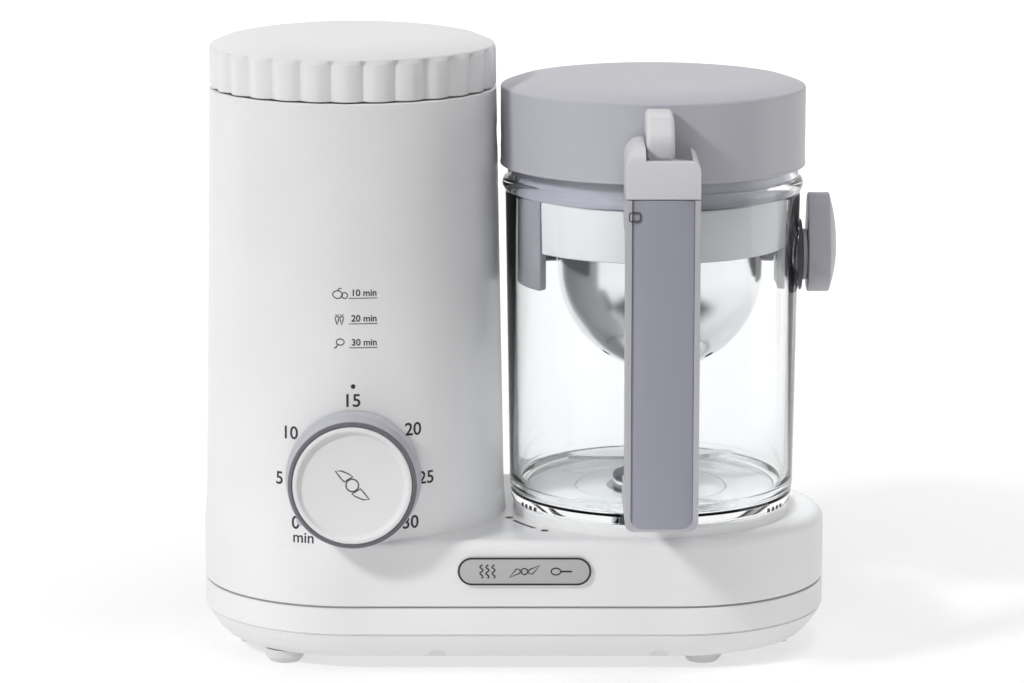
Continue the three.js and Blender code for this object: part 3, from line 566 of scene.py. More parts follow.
def paper_floor():
    """White paper. It throws light up at the machine, and shiny pieces see a dark strip in front."""
    far = 9000
    corners = [(-far, -far, 0), (far, -far, 0), (far, far, 0), (-far, far, 0)]
    floor = mesh_object("floor", corners, [[0, 1, 2, 3]])
    paper = Shader("paper", PAPER, 0.75, Emission_Color=(1, 1, 1, 1))
    paper.tinted(paper.noise(60, 2), shade(PAPER, 0.99), shade(PAPER, 1.01))
    path = paper.node("ShaderNodeLightPath")
    where = paper.node("ShaderNodeTexCoord")
    distance = paper.node("ShaderNodeVectorMath")
    distance.operation = "LENGTH"
    paper.link(where.outputs["Object"], distance.inputs["Vector"])
    seen = paper.ranged(distance.outputs["Value"], *PAPER_GLOW, near=0.2, far=1.2)
    thrown = paper.ranged(distance.outputs["Value"], *PAPER_BOUNCE, near=0.25, far=0.7)
    glow = paper.node("ShaderNodeMix")
    paper.link(path.outputs["Is Diffuse Ray"], glow.inputs["Factor"])
    paper.link(seen, glow.inputs["A"])
    paper.link(thrown, glow.inputs["B"])
    paper.link(glow.outputs["Result"], paper.principled.inputs["Emission Strength"])
    split = paper.node("ShaderNodeSeparateXYZ")
    paper.link(where.outputs["Object"], split.inputs["Vector"])
    aside = paper.computed("ABSOLUTE", paper.computed("SUBTRACT", split.outputs["X"], JUG.x * MM))
    middle_strip = paper.ranged(aside, 1, 0, near=0.18, far=0.25)
    in_front = paper.ranged(split.outputs["Y"], 1, 0, near=-0.12, far=-0.04)
    strip = paper.computed("MULTIPLY", middle_strip, in_front)
    mirrored = paper.computed("MULTIPLY", strip, path.outputs["Glossy Depth"])
    paper.mixed(mirrored, paper.node("ShaderNodeBsdfDiffuse", Color=(0.12, 0.12, 0.12, 1)))
    floor.data.materials.append(paper.material)


def studio():
    white_sky()
    paper_floor()
    unmirrored = (
        area_light("key", -50, 2.24, 3.0, (0.45, 0.45), 70),
        area_light("front_fill", -15, 0.3, 1.7, (1.4, 0.6), 1.6),
        area_light("low_strip", 0, 0.06, 0.9, (0.7, 0.06), 0.075, aim=0.02, spread=24),
        area_light("top_fill", 30, 1.6, 0.5, (0.9, 0.9), 8),
    )
    for lamp in unmirrored:
        lamp.visible_glossy = False
    area_light("right_panel", 95, 0.45, 1.2, (0.65, 1.2), 3.5)
    area_light("left_panel", -105, 0.5, 1.2, (0.8, 1.2), 2.0)
    SCENE.view_settings.view_transform = "Standard"


# ---- base and tower


def base_tray():
    """The tray narrows below a fine crease line, and two half-round notches break its front edge."""
    top, floor, groove = SEAM - 0.5, 10, 0.45
    corners = [
        (0, TRAY_LOW), (BASE_R - 9, TRAY_LOW, 3), (BASE_R - 5.5, 9.6, 6), (BASE_R - 2.6, 13.6, 8),
        (BASE_R - 0.4, TRAY_CREASE - 0.5), (BASE_R - groove - 0.5, TRAY_CREASE - 0.2),
        (BASE_R - groove, TRAY_CREASE + 0.3), (BASE_R, TRAY_CREASE + 0.5), (BASE_R, top, 0.7),
        (BASE_R - WALL, top), (BASE_R - WALL, TRAY_CREASE + 1, 3), (BASE_R - 10, floor), (0, floor),
    ]
    tray = turned("tray_shell", corners, half=BASE_HALF)
    notches = []
    for x in NOTCHES:
        notch = disc("notch", NOTCH_R, BASE_R - 10, BASE_R + 4)
        notches.append(moved(notch, (x, 0, TRAY_LOW), TO_FRONT))
    hole = disc("gland_hole", GLAND_HOLE_R, -BASE_R - 4, 10 - BASE_R)
    moved(hole, (GLAND.x - BASE.x, 0, GLAND.z), TO_FRONT)
    cut(tray, *notches, hole)
    finished(tray, WHITE, "housing", "white_shell", "base_tray", at=BASE)


def seam_shadow():
    """A dark grey band in the gap all round between the tray and the housing: painted shade of the gap."""
    inner, outer, bottom, top = BASE_R - 2.4, BASE_R - 0.75, SEAM - 1.2, SEAM + 1.2
    corners = [(inner, bottom), (outer, bottom), (outer, top), (inner, top)]
    gap = turned("seam_band", corners, half=BASE_HALF)
    finished(gap, SEAM_SHADOW_GREY, "housing", "white_shell", at=BASE)


def tower_radius(z):
    """The outer radius of the tower: a slight draft, and a flare at its foot to meet the base."""
    if z >= WAIST:
        return WAIST_R + (TOWER_TOP_R - WAIST_R) * (z - WAIST) / (TOWER_TOP - WAIST)
    drop = (WAIST - z) / (WAIST - DECK)
    return WAIST_R + (BASE_R - 0.1 - WAIST_R) * min(1.0, drop) ** 2


def tower_wall():
    heights = [DECK + (WAIST - DECK) * k / 8 for k in range(9)]
    return [(tower_radius(z), z) for z in heights]


def upper_shell():
    bottom = SEAM + 0.35
    corners = [(0, bottom), (BASE_R, bottom, 0.6), (BASE_R, DECK, DECK_EDGE), (0, DECK)]
    shell = turned("housing_shell", corners, half=BASE_HALF, steps=8)
    moved(shell, BASE)
    foot = BASE_R - 0.1
    corners = [
        (0, bottom), (foot, bottom, 0.6), *tower_wall(), (TOWER_TOP_R, TOWER_TOP, 0.8), (0, TOWER_TOP),
    ]
    tower = turned("tower", corners, ROUND * 2)
    moved(tower, TOWER)
    seat = turned("seat", [(0, DECK - 2), (SEAT_R, DECK - 2), (SEAT_R, SEAT_TOP, 1.2), (0, SEAT_TOP)])
    moved(seat, JUG)
    boss = moved(disc("boss", 25, 59.5, -DIAL_BACK - 0.5, FINE), DIAL, TO_FRONT)
    joined(shell, tower, seat, boss)
    ceiling = DECK - WALL
    corners = [(0, bottom - 2), (BASE_R - WALL, bottom - 2), (BASE_R - WALL, ceiling, 2), (0, ceiling)]
    deck_inside = turned("deck_inside", corners, half=BASE_HALF)
    moved(deck_inside, BASE)
    neck = TOWER_TOP_R - TOWER_WALL
    hole, rest = neck - LEDGE_WIDTH, LEDGE + LEDGE_HEIGHT
    corners = [
        (0, DECK - 5), (WAIST_R - TOWER_WALL, DECK - 5), (neck, LEDGE), (hole, LEDGE), (hole, rest),
        (neck + 0.3, rest), (neck + 0.3, TOWER_TOP + 2), (0, TOWER_TOP + 2),
    ]
    tower_inside = turned("tower_inside", corners)
    moved(tower_inside, TOWER)
    well = moved(disc("well", SEAT_BORE, DECK, SEAT_TOP + 6, ROUND), JUG)
    coupling = moved(disc("coupling_hole", 18, 50, 70, FINE), JUG)
    shaft = moved(disc("shaft_hole", 4.6, 50, 72), DIAL, TO_FRONT)
    outlet = moved(disc("outlet", 6.4, 50, 70), (TOWER.x, TOWER.y, STEAM_Z), TO_RIGHT)
    cut(shell, deck_inside, tower_inside, well, coupling, shaft, outlet)
    finished(shell, WHITE, "housing", "white_shell", "upper_housing")


def feet():
    top = TRAY_LOW - 0.3
    for end in ("left", "right"):
        for side in ("front", "rear"):
            node = f"foot_{end}_{side}"
            place = middle(node)
            corners = [(0, 0), (6.6, 0, 0.8), (FOOT_R, 2.4, 1.4), (FOOT_R, top), (3, top), (3, 10), (0, 10)]
            foot = turned(f"rubber_{node}", corners, 48)
            moved(foot, (place.x, place.y, 0))
            finished(foot, RUBBER, "housing", "foot_rubber", node)


# ---- printed marks


def stroke(name, points, width, closed=False, thickness=0.06):
    """A flat printed line along points in (x, y), on z = 0."""
    count = len(points)
    left, right = [], []
    for i, (x, y) in enumerate(points):
        before = Vector(points[i - 1]) if closed or i else Vector(points[0])
        after = Vector(points[(i + 1) % count]) if closed or i < count - 1 else Vector(points[-1])
        along = (after - before).normalized()
        across = Vector((-along.y, along.x)) * width / 2
        left.append((x + across.x, y + across.y))
        right.append((x - across.x, y - across.y))
    verts = [(x, y, z) for z in (0, thickness) for x, y in left + right]
    faces = []
    for k in range(count if closed else count - 1):
        j = (k + 1) % count
        faces.append([k + 2 * count, j + 2 * count, j + 3 * count, k + 3 * count])
        faces.append([k, count + k, count + j, j])
        faces.append([k, j, j + 2 * count, k + 2 * count])
        faces.append([count + k, k + 3 * count, j + 3 * count, count + j])
    if not closed:
        faces.append([0, 2 * count, 3 * count, count])
        faces.append([count - 1, 2 * count - 1, 4 * count - 1, 3 * count - 1])
    return outward(mesh_object(name, verts, faces))


def lettering(name, words, height, place, bold=0.0):
    """Words as a thin mesh, centred on place in (x, y)."""
    data = bpy.data.curves.new(name, "FONT")
    data.body = words
    data.size = height * 1.38 * MM  # its capitals are then as high as height
    data.align_x, data.align_y = "CENTER", "CENTER"
    data.extrude = 0.03 * MM
    data.offset = bold * MM
    obj = bpy.data.objects.new(name, data)
    SCENE.collection.objects.link(obj)
    graph = bpy.context.evaluated_depsgraph_get()
    mesh = bpy.data.meshes.new_from_object(obj.evaluated_get(graph))
    bpy.data.objects.remove(obj)
    made = bpy.data.objects.new(name, mesh)
    SCENE.collection.objects.link(made)
    return moved(made, (*place, 0.03))


def wrapped_on_tower(obj, z):
    """Lays a flat print, drawn in (x, y) round the dial's upright line, on the tower at height z."""
    for vertex in obj.data.vertices:
        x, y, out = (c / MM for c in vertex.co)
        radius = tower_radius(z + y)
        angle = (x + DIAL.x - TOWER.x) / radius
        reach = radius + 0.02 + out
        place = Vector((TOWER.x + reach * math.sin(angle), TOWER.y - reach * math.cos(angle), z + y))
        vertex.co = place * MM
    obj.data.update()
    finished(obj, INK, "housing", "white_shell", angle=60)


def dial_scale():
    """Minutes 0 to 30 round the dial, as far as the dial turns, and a dot above it."""
    for minutes, degrees in SCALE_TURNS.items():
        angle = math.radians(degrees)
        place = (SCALE_R * math.cos(angle) - 0.5, SCALE_R * math.sin(angle))
        number = lettering(f"minutes_{minutes:02d}", str(minutes), 5.7, place, 0.11)
        wrapped_on_tower(number, DIAL.z)
    wrapped_on_tower(lettering("minutes_unit", "min", 4.9, (-22.4, -27.6), 0.08), DIAL.z)
    dot = stroke("top_mark", circle_points(0, 0, 0.5, 16), 1.0, closed=True)
    wrapped_on_tower(dot, DIAL.z + DOT_RISE)


def drawn(name, points, z, width=0.42, closed=True):
    wrapped_on_tower(stroke(name, points, width, closed=closed), z)


def oval(x, y, wide, high, count=24, dent=0.0):
    """An ellipse's points; a dent draws in its top and bottom, as an apple's are."""
    points = []
    for k in range(count):
        a = 2 * math.pi * k / count
        points.append((x + wide * math.cos(a) * (1 + dent * math.cos(2 * a)), y + high * math.sin(a)))
    return points


def steam_times():
    """Three small food symbols, each with its steaming minutes underlined."""
    rule = [(-1.6 + 1.22 * k, -1.6) for k in range(11)]
    for minutes, z in ((10, FRUIT_Z), (20, ROOTS_Z), (30, MEAT_Z)):
        words = lettering(f"steam_minutes_{minutes}", f"{minutes} min", 2.9, (4.9, 0.6), 0.07)
        wrapped_on_tower(words, z)
        drawn(f"steam_rule_{minutes}", rule, z, 0.3, closed=False)
    drawn("apple_mark", oval(-6.4, 0, 1.9, 1.7, dent=0.12), FRUIT_Z)
    drawn("apple_leaf", [(-6.4, 1.4), (-5.8, 2.6), (-4.7, 2.7)], FRUIT_Z, closed=False)
    drawn("pear_mark", circle_points(-3.4, -0.4, 1.25, 20), FRUIT_Z)
    for k, x in enumerate((-6.7, -4.7)):
        root = [(x - 0.8, 1.4), (x + 0.8, 1.4), (x + 0.5, -0.4), (x, -2.1), (x - 0.5, -0.4)]
        drawn(f"carrot_mark_{k}", root, ROOTS_Z)
        drawn(f"carrot_top_{k}", [(x - 0.6, 2.5), (x, 1.5), (x + 0.7, 2.6)], ROOTS_Z, 0.36, closed=False)
    drawn("drumstick_mark", oval(-5.4, 0.9, 1.7, 1.35), MEAT_Z)
    drawn("drumstick_bone", [(-6.4, -0.1), (-7.3, -1.6), (-8.0, -1.7)], MEAT_Z, 0.5, closed=False)


def on_badge(obj):
    moved(obj, (BADGE.x, BADGE.y - BASE_R - BADGE_RISE, BADGE.z), TO_FRONT)
    finished(obj, INK, "housing", "badge_grey")


def badge():
    """A grey pill with a darker line round it and three small pictograms: steam, a blade and a spoon."""
    outline = rounded_box_outline((-29, 29), (-6.35, 6.35), 6.34, 16)
    pill = prism("badge", outline, BASE_R + 0.3, BASE_R + BADGE_RISE)
    bevelled(pill, 0.35, 3)
    moved(pill, (BADGE.x, BADGE.y, BADGE.z), TO_FRONT)
    finished(pill, BADGE_GREY, "housing", "badge_grey", "badge_plate")
    border = rounded_box_outline((-28.4, 28.4), (-5.75, 5.75), 5.7, 16)
    on_badge(stroke("badge_outline", border, 0.8, closed=True))
    for k in range(3):
        heights = [-3 + 0.5 * n for n in range(13)]
        wave = [(-18.6 + 2.6 * k + 0.7 * math.sin(2.2 * (y + 3)), y) for y in heights]
        on_badge(stroke(f"steam_mark_{k}", wave, 0.62))
    on_badge(stroke("blade_mark_ring", circle_points(0, 0, 1.35), 0.55, closed=True))
    wing = [(1.9, 0.7), (6.6, 2.7), (3.4, -1.2), (1.9, -0.8)]
    for k in range(2):
        on_badge(stroke(f"blade_mark_wing_{k}", spun(wing, k * math.pi), 0.55, closed=True))
    on_badge(stroke("spoon_mark_bowl", oval(13.6, 0, 2.1, 1.5, 20), 0.55, closed=True))
    on_badge(stroke("spoon_mark_stem", [(15.8, 0), (20.6, 0)], 0.75))


def deck_mark(name, points, width, closed=False):
    """A line printed flat on the deck, drawn round the jug's axis."""
    mark = stroke(name, points, width, closed)
    moved(mark, (JUG.x, JUG.y, DECK + 0.02))
    finished(mark, INK, "housing", "white_shell")


def lock_marks():
    """Two dots joined by an arc on the deck, for turning the jug into its lock."""
    shut, unlocked = math.radians(LOCK_SHUT), math.radians(LOCK_OPEN)
    arc = circle_points(0, 0, LOCK_MARK_R, 16, unlocked + 0.06, shut - 0.08)
    deck_mark("lock_arc", arc, 1.5)
    tip = Vector(arc[-1])
    along = Vector((math.cos(shut + math.pi / 2), math.sin(shut + math.pi / 2)))
    aside = Vector((-along.y, along.x))
    head = [tip - aside * 1.2, tip + along * 1.8, tip + aside * 1.2]
    deck_mark("lock_arrow", [tuple(p) for p in head], 0.5, closed=True)
    for name, angle in (("lock_open_dot", unlocked - 0.02), ("lock_shut_dot", shut + 0.03)):
        spot = (LOCK_MARK_R * math.cos(angle), LOCK_MARK_R * math.sin(angle))
        deck_mark(name, circle_points(*spot, 0.9, 14), 1.8, closed=True)


# ---- timer dial


def dial():
    back, front = -DIAL_BACK, -DIAL_FRONT
    corners = [
        (4.4, back), (SKIRT_R, back, 0.6), (SKIRT_R, back + 2.4, 0.8), (DIAL_R, back + 3.8, 1.0),
        (DIAL_R, front - 2.6, 0.8), (FACE_R + 1.2, front - 0.7, 0.5), (FACE_R + 0.35, front - 0.7),
        (FACE_R + 0.35, back + 3), (4.4, back + 3),
    ]
    body = turned("dial_skirt", corners)
    pointer = prism("pointer", [(-2.3, 0), (2.3, 0), (1.4, 3.4), (-1.4, 3.4)], back, back + 2.4)
    bevelled(pointer, 0.6, 3)
    moved(pointer, (0, SKIRT_R - 1.2, 0))
    moved(pointer, matrix=Matrix.Rotation(math.radians(POINTER_TURN), 4, "Z"))
    joined(body, pointer)
    moved(body, DIAL, TO_FRONT)
    finished(body, LID_GREY, "dial", "grey_plastic", "dial_ring")
    corners = [
        (FACE_R + 0.4, front - 0.9), (DIAL_R - 0.9, front - 2.0), (DIAL_R - 0.3, front - 2.2, 0.2),
        (DIAL_R - 0.5, front - 1.0, 0.4), (FACE_R + 0.4, front - 0.2, 0.3),
    ]
    edge = turned("dial_edge", corners, steps=3)
    moved(edge, DIAL, TO_FRONT)
    finished(edge, BEVEL_GREY, "dial", "grey_plastic")


def dial_face():
    """The white blend button: a raised rim, a flat dished face and a printed blade."""
    back, front = -DIAL_BACK + 6.3, -DIAL_FRONT
    dish = 1.8
    corners = [
        (0, back), (FACE_R, back), (FACE_R, front, 0.9), (FACE_R - 1.9, front, 0.7),
        (FACE_R - 3.2, front - dish, 1.6), (0, front - dish),
    ]
    face = turned("dial_button", corners, steps=6)
    moved(face, DIAL, TO_FRONT)
    finished(face, FACE_WHITE, "blend_button", "white_shell", "dial_cap")
    marks = [stroke("face_hub", circle_points(0, 0, 2.7), 0.6, closed=True)]
    wing = [(-7.2, 6.2), (-4.6, 6.3), (-1.3, 4.9), (0.2, 3.8), (-2.0, 2.4), (-3.4, 1.5), (-4.9, 3.1)]
    for k in range(2):
        marks.append(stroke(f"face_wing_{k}", spun(wing, k * math.pi), 0.6, closed=True))
    for mark in marks:
        moved(mark, (DIAL.x, DIAL.y - front + dish - 0.02, DIAL.z), TO_FRONT)
        finished(mark, GREY_INK, "blend_button", "white_shell")


# ---- water-tank lid


def domed(radius, top, drop, power, steps):
    """A shallow dome's profile from near its edge to its middle, (0, top)."""
    line = []
    for k in range(1, steps + 1):
        share = 1 - k / steps
        line.append((radius * share, top - drop * share**power))
    return line


def tank_lid():
    """A fluted skirt with a domed top, hollow underneath. The flutes end in the rounded top edge."""
    facets = FLUTES * 16
    skirt, bore, flutes_top = TOWER_TOP_R - 0.1, COVER_BORE_R, COVER_RIM - 2.2
    crown = domed(skirt - 1.2, COVER_TOP, COVER_TOP - COVER_RIM - 1.0, 4, 10)[:-1]
    corners = [
        (bore, COVER_LOW), (skirt, COVER_LOW, 0.6), (skirt, flutes_top, 0.6),
        (skirt - 0.9, COVER_RIM + 0.1, 1.2), *crown, (0.01, COVER_TOP), (0.01, COVER_RIM - 2),
        (59, COVER_RIM - 3, 2), (bore, COVER_LOW + 2),
    ]
    line = softened(corners, 6)
    verts = []
    for r, z in line:
        outside = z < flutes_top + 0.3 and r > bore + 0.2
        for k in range(facets):
            angle = 2 * math.pi * k / facets
            groove = 1 - abs(math.cos(FLUTES * angle / 2))
            here = r - (FLUTE_DEPTH * groove if outside else 0)
            verts.append((here * math.cos(angle), here * math.sin(angle), z))
    faces = ring_faces(len(line), facets, closed=True)
    lid = outward(mesh_object("tank_cover", verts, faces))
    finished(lid, WHITE, "tank_cap", "white_shell", "tank_lid", at=TOWER, angle=50)


# ---- jug


def jug_body():
    """The clear jug: thick foot, slightly flared wall, bead ring and thin neck."""
    foot, wall, neck = JUG_FOOT_R, JUG_WALL_R, NECK_R
    half_height = (BEAD_HIGH - BEAD_LOW) / 2
    bead = []
    for k in range(13):
        turn = math.radians(-75 + 12.5 * k)
        inset, rise = BEAD_BULGE * (1 - math.cos(turn)), half_height * (1 + math.sin(turn))
        bead.append((BEAD_R - inset, BEAD_LOW + rise))
    corners = [
        (JUG_BORE_R, JUG_LOW), (foot - 4, JUG_LOW, 1), (foot - 0.2, 65.6, 1.2), (foot, 69.2, 0.5),
        (foot - 0.7, JUG_FLOOR, 0.6), (foot + 0.5, 72.2, 0.8), (wall, BEAD_LOW - 0.8), *bead,
        (neck, BEAD_HIGH + 0.3), (neck, JUG_RIM, 0.5), (neck - 2.8, JUG_RIM, 0.5),
        (wall - 3, BEAD_LOW - 1), (60.1, 80), (59.2, 74.2, 3), (55.5, JUG_FLOOR, 3),
        (JUG_BORE_R, JUG_FLOOR),
    ]
    jug = turned("jug_body", corners, ROUND + 32)
    bore = moved(disc("bore", 12, 55, 70, FINE), PIVOT_UP, TO_RIGHT)
    cut(jug, bore)
    finished(jug, CLEAR, "jug", "clear_jug", "jug_glass", at=JUG)


def lock_ticks():
    """Groups of small dark dashes printed round the jug's foot, one on the left and one on the right."""
    radius, half_width = JUG_FOOT_R + 0.05, 0.018
    for group, centre in TICK_GROUPS.items():
        for k in range(4):
            facing = math.radians(centre + 3.4 * (k - 1.5))
            start, end = facing - half_width, facing + half_width
            outer = circle_points(0, 0, radius, 4, start, end)
            inner = circle_points(0, 0, radius - 0.02, 4, end, start)
            mark = prism(f"lock_tick_{group}_{k}", outer + inner, TICK_LOW, TICK_HIGH)
            finished(mark, INK, "jug", "clear_jug", at=JUG)


def hanging_arm(name, inner, outer, bottom, top, facing, spread):
    """A strip of a ring, hanging from a ring above it, with rounded lower corners."""
    start, end = facing - spread, facing + spread
    outline = circle_points(0, 0, outer, 21, start, end) + circle_points(0, 0, inner, 21, end, start)
    return bevelled(prism(name, outline, bottom, top), 0.8, 3, 50)


def carrier():
    """The ring that hangs in the jug's mouth by its lip, and its arm for the bowl's left pivot."""
    bore, outside, lip = 57.5, 61.1, 63.6
    corners = [
        (bore, CARRIER_LOW, 0.4), (outside, CARRIER_LOW, 0.5), (outside, CARRIER_LIP),
        (lip, CARRIER_LIP, 0.4), (lip, CARRIER_TOP, 0.5), (bore, CARRIER_TOP, 0.4),
    ]
    band = turned("carrier", corners)
    finished(band, GREY, "jug", "grey_plastic", "carrier_ring", at=JUG)
    top = CARRIER_LOW + 0.5
    arm = hanging_arm("left_arm", ARM_INNER, ARM_OUTER, LEFT_ARM_LOW, top, math.pi, ARM_SPREAD)
    cut(arm, moved(disc("pin_hole", 3.9, -65, -50), PIVOT_UP, TO_RIGHT))
    # the arm takes the darker copy of the carrier's grey: painted shade
    finished(arm, ARM_SHADED_GREY, "jug", "grey_plastic", at=JUG)


def collar():
    """The white ring under the carrier, and its arm for the bowl's right pivot; its white is dimmed as
    painted shade for its place inside the glass.
    """
    bore, outside = COLLAR_BORE_R, COLLAR_R
    corners = [
        (bore, COLLAR_LOW, 0.5), (outside - 0.6, COLLAR_LOW, 0.7), (outside, COLLAR_TOP, 0.5),
        (bore + 0.6, COLLAR_TOP, 0.5),
    ]
    band = turned("collar", corners)
    joined(band, hanging_arm("right_arm", bore, outside - 0.4, RIGHT_ARM_LOW, COLLAR_LOW + 2, 0, 0.12))
    slot = hanging_arm("slot", ARM_INNER - 1, ARM_OUTER + 2, 170, 210, math.pi, ARM_SPREAD + 0.02)
    hole = moved(disc("shaft_hole", 5.6, 50, 70), PIVOT_UP, TO_RIGHT)
    cut(band, slot, hole)
    finished(band, COLLAR_DIMMED_WHITE, "jug", "white_shell", "collar_ring", at=JUG)


def bushing():
    """The dark bearing in the jug's wall: a flange that fits the round wall, and a sleeve through it."""
    bore, sleeve_r, flange_r = NECK_BORE + 0.4, 11.6, 15.8
    back, face = 62, 65.9
    corners = [
        (bore, back), (sleeve_r, back), (sleeve_r, back + 2), (flange_r, back - 4), (flange_r, face, 0.8),
        (bore, face, 0.5),
    ]
    flange = moved(turned("bushing", corners, FINE), PIVOT_UP, TO_RIGHT)
    cut(flange, disc("core", JUG_WALL_R, 150, 200, ROUND))
    end = face - 0.6
    corners = [(bore, back, 0.4), (sleeve_r, back, 0.4), (sleeve_r, end), (bore, end)]
    sleeve = turned("bushing_sleeve", corners, FINE)
    joined(flange, moved(sleeve, PIVOT_UP, TO_RIGHT))
    finished(flange, DARK_GREY, "jug", "dark_grey_plastic", "pivot_bushing", at=JUG)


def quarter_arc(radius, drop, count=40):
    """From the bottom of a hemisphere up to its edge, drop below the pivot."""
    line = []
    for k in range(count + 1):
        angle = math.pi / 2 * k / count
        line.append((radius * math.sin(angle), -drop - radius * math.cos(angle)))
    return line


def bowl():
    """The steel steaming bowl: a rolled rim, a short straight wall and a half sphere with steam holes."""
    rim = BOWL_RIM - PIVOT.z
    corners = [
        *quarter_arc(BOWL_R, BOWL_DROP), (BOWL_R, rim - 1.6, 0.4), (BOWL_R + 2, rim - 1.6, 0.7),
        (BOWL_R + 2, rim, 0.7), (BOWL_R - BOWL_WALL, rim, 0.4),
        *reversed(quarter_arc(BOWL_R - BOWL_WALL, BOWL_DROP)),
    ]
    shell = turned("bowl_shell", corners, FINE + 32)
    holes = []
    for k in range(STEAM_HOLES):
        hole = disc("hole", STEAM_HOLE_R, -BOWL_R - 4, -BOWL_R + 8, 24)
        turn = 2 * math.pi * (k + 0.35) / STEAM_HOLES
        moved(hole, matrix=Matrix.Rotation(turn, 4, "Z") @ Matrix.Rotation(STEAM_HOLE_LEAN, 4, "X"))
        holes.append(moved(hole, (0, 0, -BOWL_DROP)))
    cut(shell, *holes)
    finished(shell, STEEL, "bowl", "polished_steel", "steam_bowl", angle=40)
    # faces inside the bowl take the darkened steel: painted shade
    shell.data.materials.append(BOWL_INSIDE_SHADE)
    centre = Vector((0, 0, -BOWL_DROP))
    for face in shell.data.polygons:
        if (face.center / MM - centre).length < BOWL_R - 0.2:
            face.material_index = 1
    moved(shell, PIVOT + Vector((BOWL_SHIFT, 0, 0)))


def drop_outline(inset, count=40):
    """A large circle round the pivot and a small one above it, joined by their tangents."""
    big, small, rise = KNOB_LOW_R - inset, KNOB_TIP_R - inset, KNOB_HIGH - KNOB_TIP_R
    lean = math.asin((big - small) / rise)
    lower = circle_points(0, 0, big, count, math.pi - lean, 2 * math.pi + lean)
    upper = circle_points(0, rise, small, count // 2, lean, math.pi - lean)
    return lower + upper


def knob():
    """The flip knob: a thick drop-shaped plate whose outer face swells into a shallow dome."""
    inner, flat, outer = KNOB_INNER, KNOB_FLAT, KNOB_OUTER
    dome_z, steps = 4.0, 12
    layers = [  # each an inset, a share of the outline's size, and a height
        (0.8, 1, inner), (0.2, 1, inner + 0.25), (0, 1, inner + 0.8), (0, 1, flat - 0.5), (0.3, 1, flat),
    ]
    for k in range(1, steps):
        share = 1 - k / steps
        layers.append((0.3, share, outer - (outer - flat) * share**2))
    layers.append((0.3, 0.02, outer))
    verts = []
    for inset, share, out in layers:
        verts += [(y * share, dome_z + (z - dome_z) * share, out) for y, z in drop_outline(inset)]
    count = len(drop_outline(0))
    ends = [list(range(count)), list(range((len(layers) - 1) * count, len(layers) * count))]
    body = outward(mesh_object("knob_body", verts, ends + ring_faces(len(layers), count)))
    cut(body, disc("socket", NECK_BORE + 0.4, inner - 1, inner + 4, FINE))
    moved(body, PIVOT, YZ_OUTLINE)
    finished(body, LID_GREY, "knob", "grey_plastic", "flip_knob")
    end = inner + 3.7
    corners = [(0, 50), (3.2, 50, 0.3), (3.2, 62), (NECK_BORE, 62, 0.4), (NECK_BORE, end), (0, end)]
    neck = moved(turned("knob_neck", corners, FINE), PIVOT, TO_RIGHT)
    finished(neck, DARK_GREY, "knob", "dark_grey_plastic", "knob_shaft")
    bore, outside = NECK_BORE + 0.3, 11.3
    corners = [(bore, 66.3, 0.3), (outside, 66.3, 0.4), (outside, 68.1, 0.4), (bore, 68.1, 0.3)]
    washer = moved(turned("knob_washer", corners, FINE), PIVOT, TO_RIGHT)
    finished(washer, SILICONE, "knob", "silicone", "knob_collar")


# ---- handle


def rod_channel(bottom, top):
    return moved(disc("channel", 2.5, bottom, top), (ROD_X, ROD_Y, 0))


def grip_outline(side, bottom, top):
    """The grip's front, set in from its sides and its foot, with rounded lower corners."""
    left, right = HANDLE_LEFT + side, HANDLE_RIGHT - side
    return softened([(left, bottom, 5), (right, bottom, 5), (right, top), (left, top)], 8)


def handle_frame():
    """The grip and its two arms in one piece, recessed in front for the panel."""
    low_inside, high_inside = HANDLE_LOW + ARM_DEPTH, HANDLE_TOP - ARM_DEPTH
    corners = [
        (HANDLE_ROOT, HANDLE_TOP), (HANDLE_FRONT, HANDLE_TOP), (HANDLE_FRONT, HANDLE_LOW, 9),
        (HANDLE_ROOT, HANDLE_LOW), (HANDLE_ROOT, low_inside), (HANDLE_BACK, low_inside, 8),
        (HANDLE_BACK, high_inside, 8), (HANDLE_ROOT, high_inside),
    ]
    side = softened(corners, 8)
    body = side_prism("handle_body", side, HANDLE_LEFT, HANDLE_RIGHT)
    corners = [
        (HANDLE_LEFT, HANDLE_LOW, 6), (HANDLE_RIGHT, HANDLE_LOW, 6), (HANDLE_RIGHT, HANDLE_TOP + 9),
        (HANDLE_LEFT, HANDLE_TOP + 9),
    ]
    face = softened(corners, 8)
    front_shape = moved(prism("front_shape", face, 60, 120), matrix=TO_FRONT)
    combined(body, "INTERSECT", [front_shape])
    bevelled(body, 3.4, 6, 50)
    outline = grip_outline(2.4, HANDLE_LOW + 2.9, HANDLE_TOP + 2)
    recess = prism("recess", outline, -HANDLE_FRONT - 1.5, -HANDLE_FRONT + 3)
    moved(recess, matrix=TO_FRONT)
    toe_heights = (HANDLE_LOW + 4, HANDLE_LOW + 14)
    toe_way = block("toe_way", (ROD_X - 3, ROD_X + 3), (ROD_Y - 1, -72), toe_heights)
    cut(body, recess, rod_channel(HANDLE_LOW + 6, HANDLE_TOP + 2), toe_way)
    finished(body, LID_GREY, "jug", "grey_plastic", "handle_frame", at=JUG)


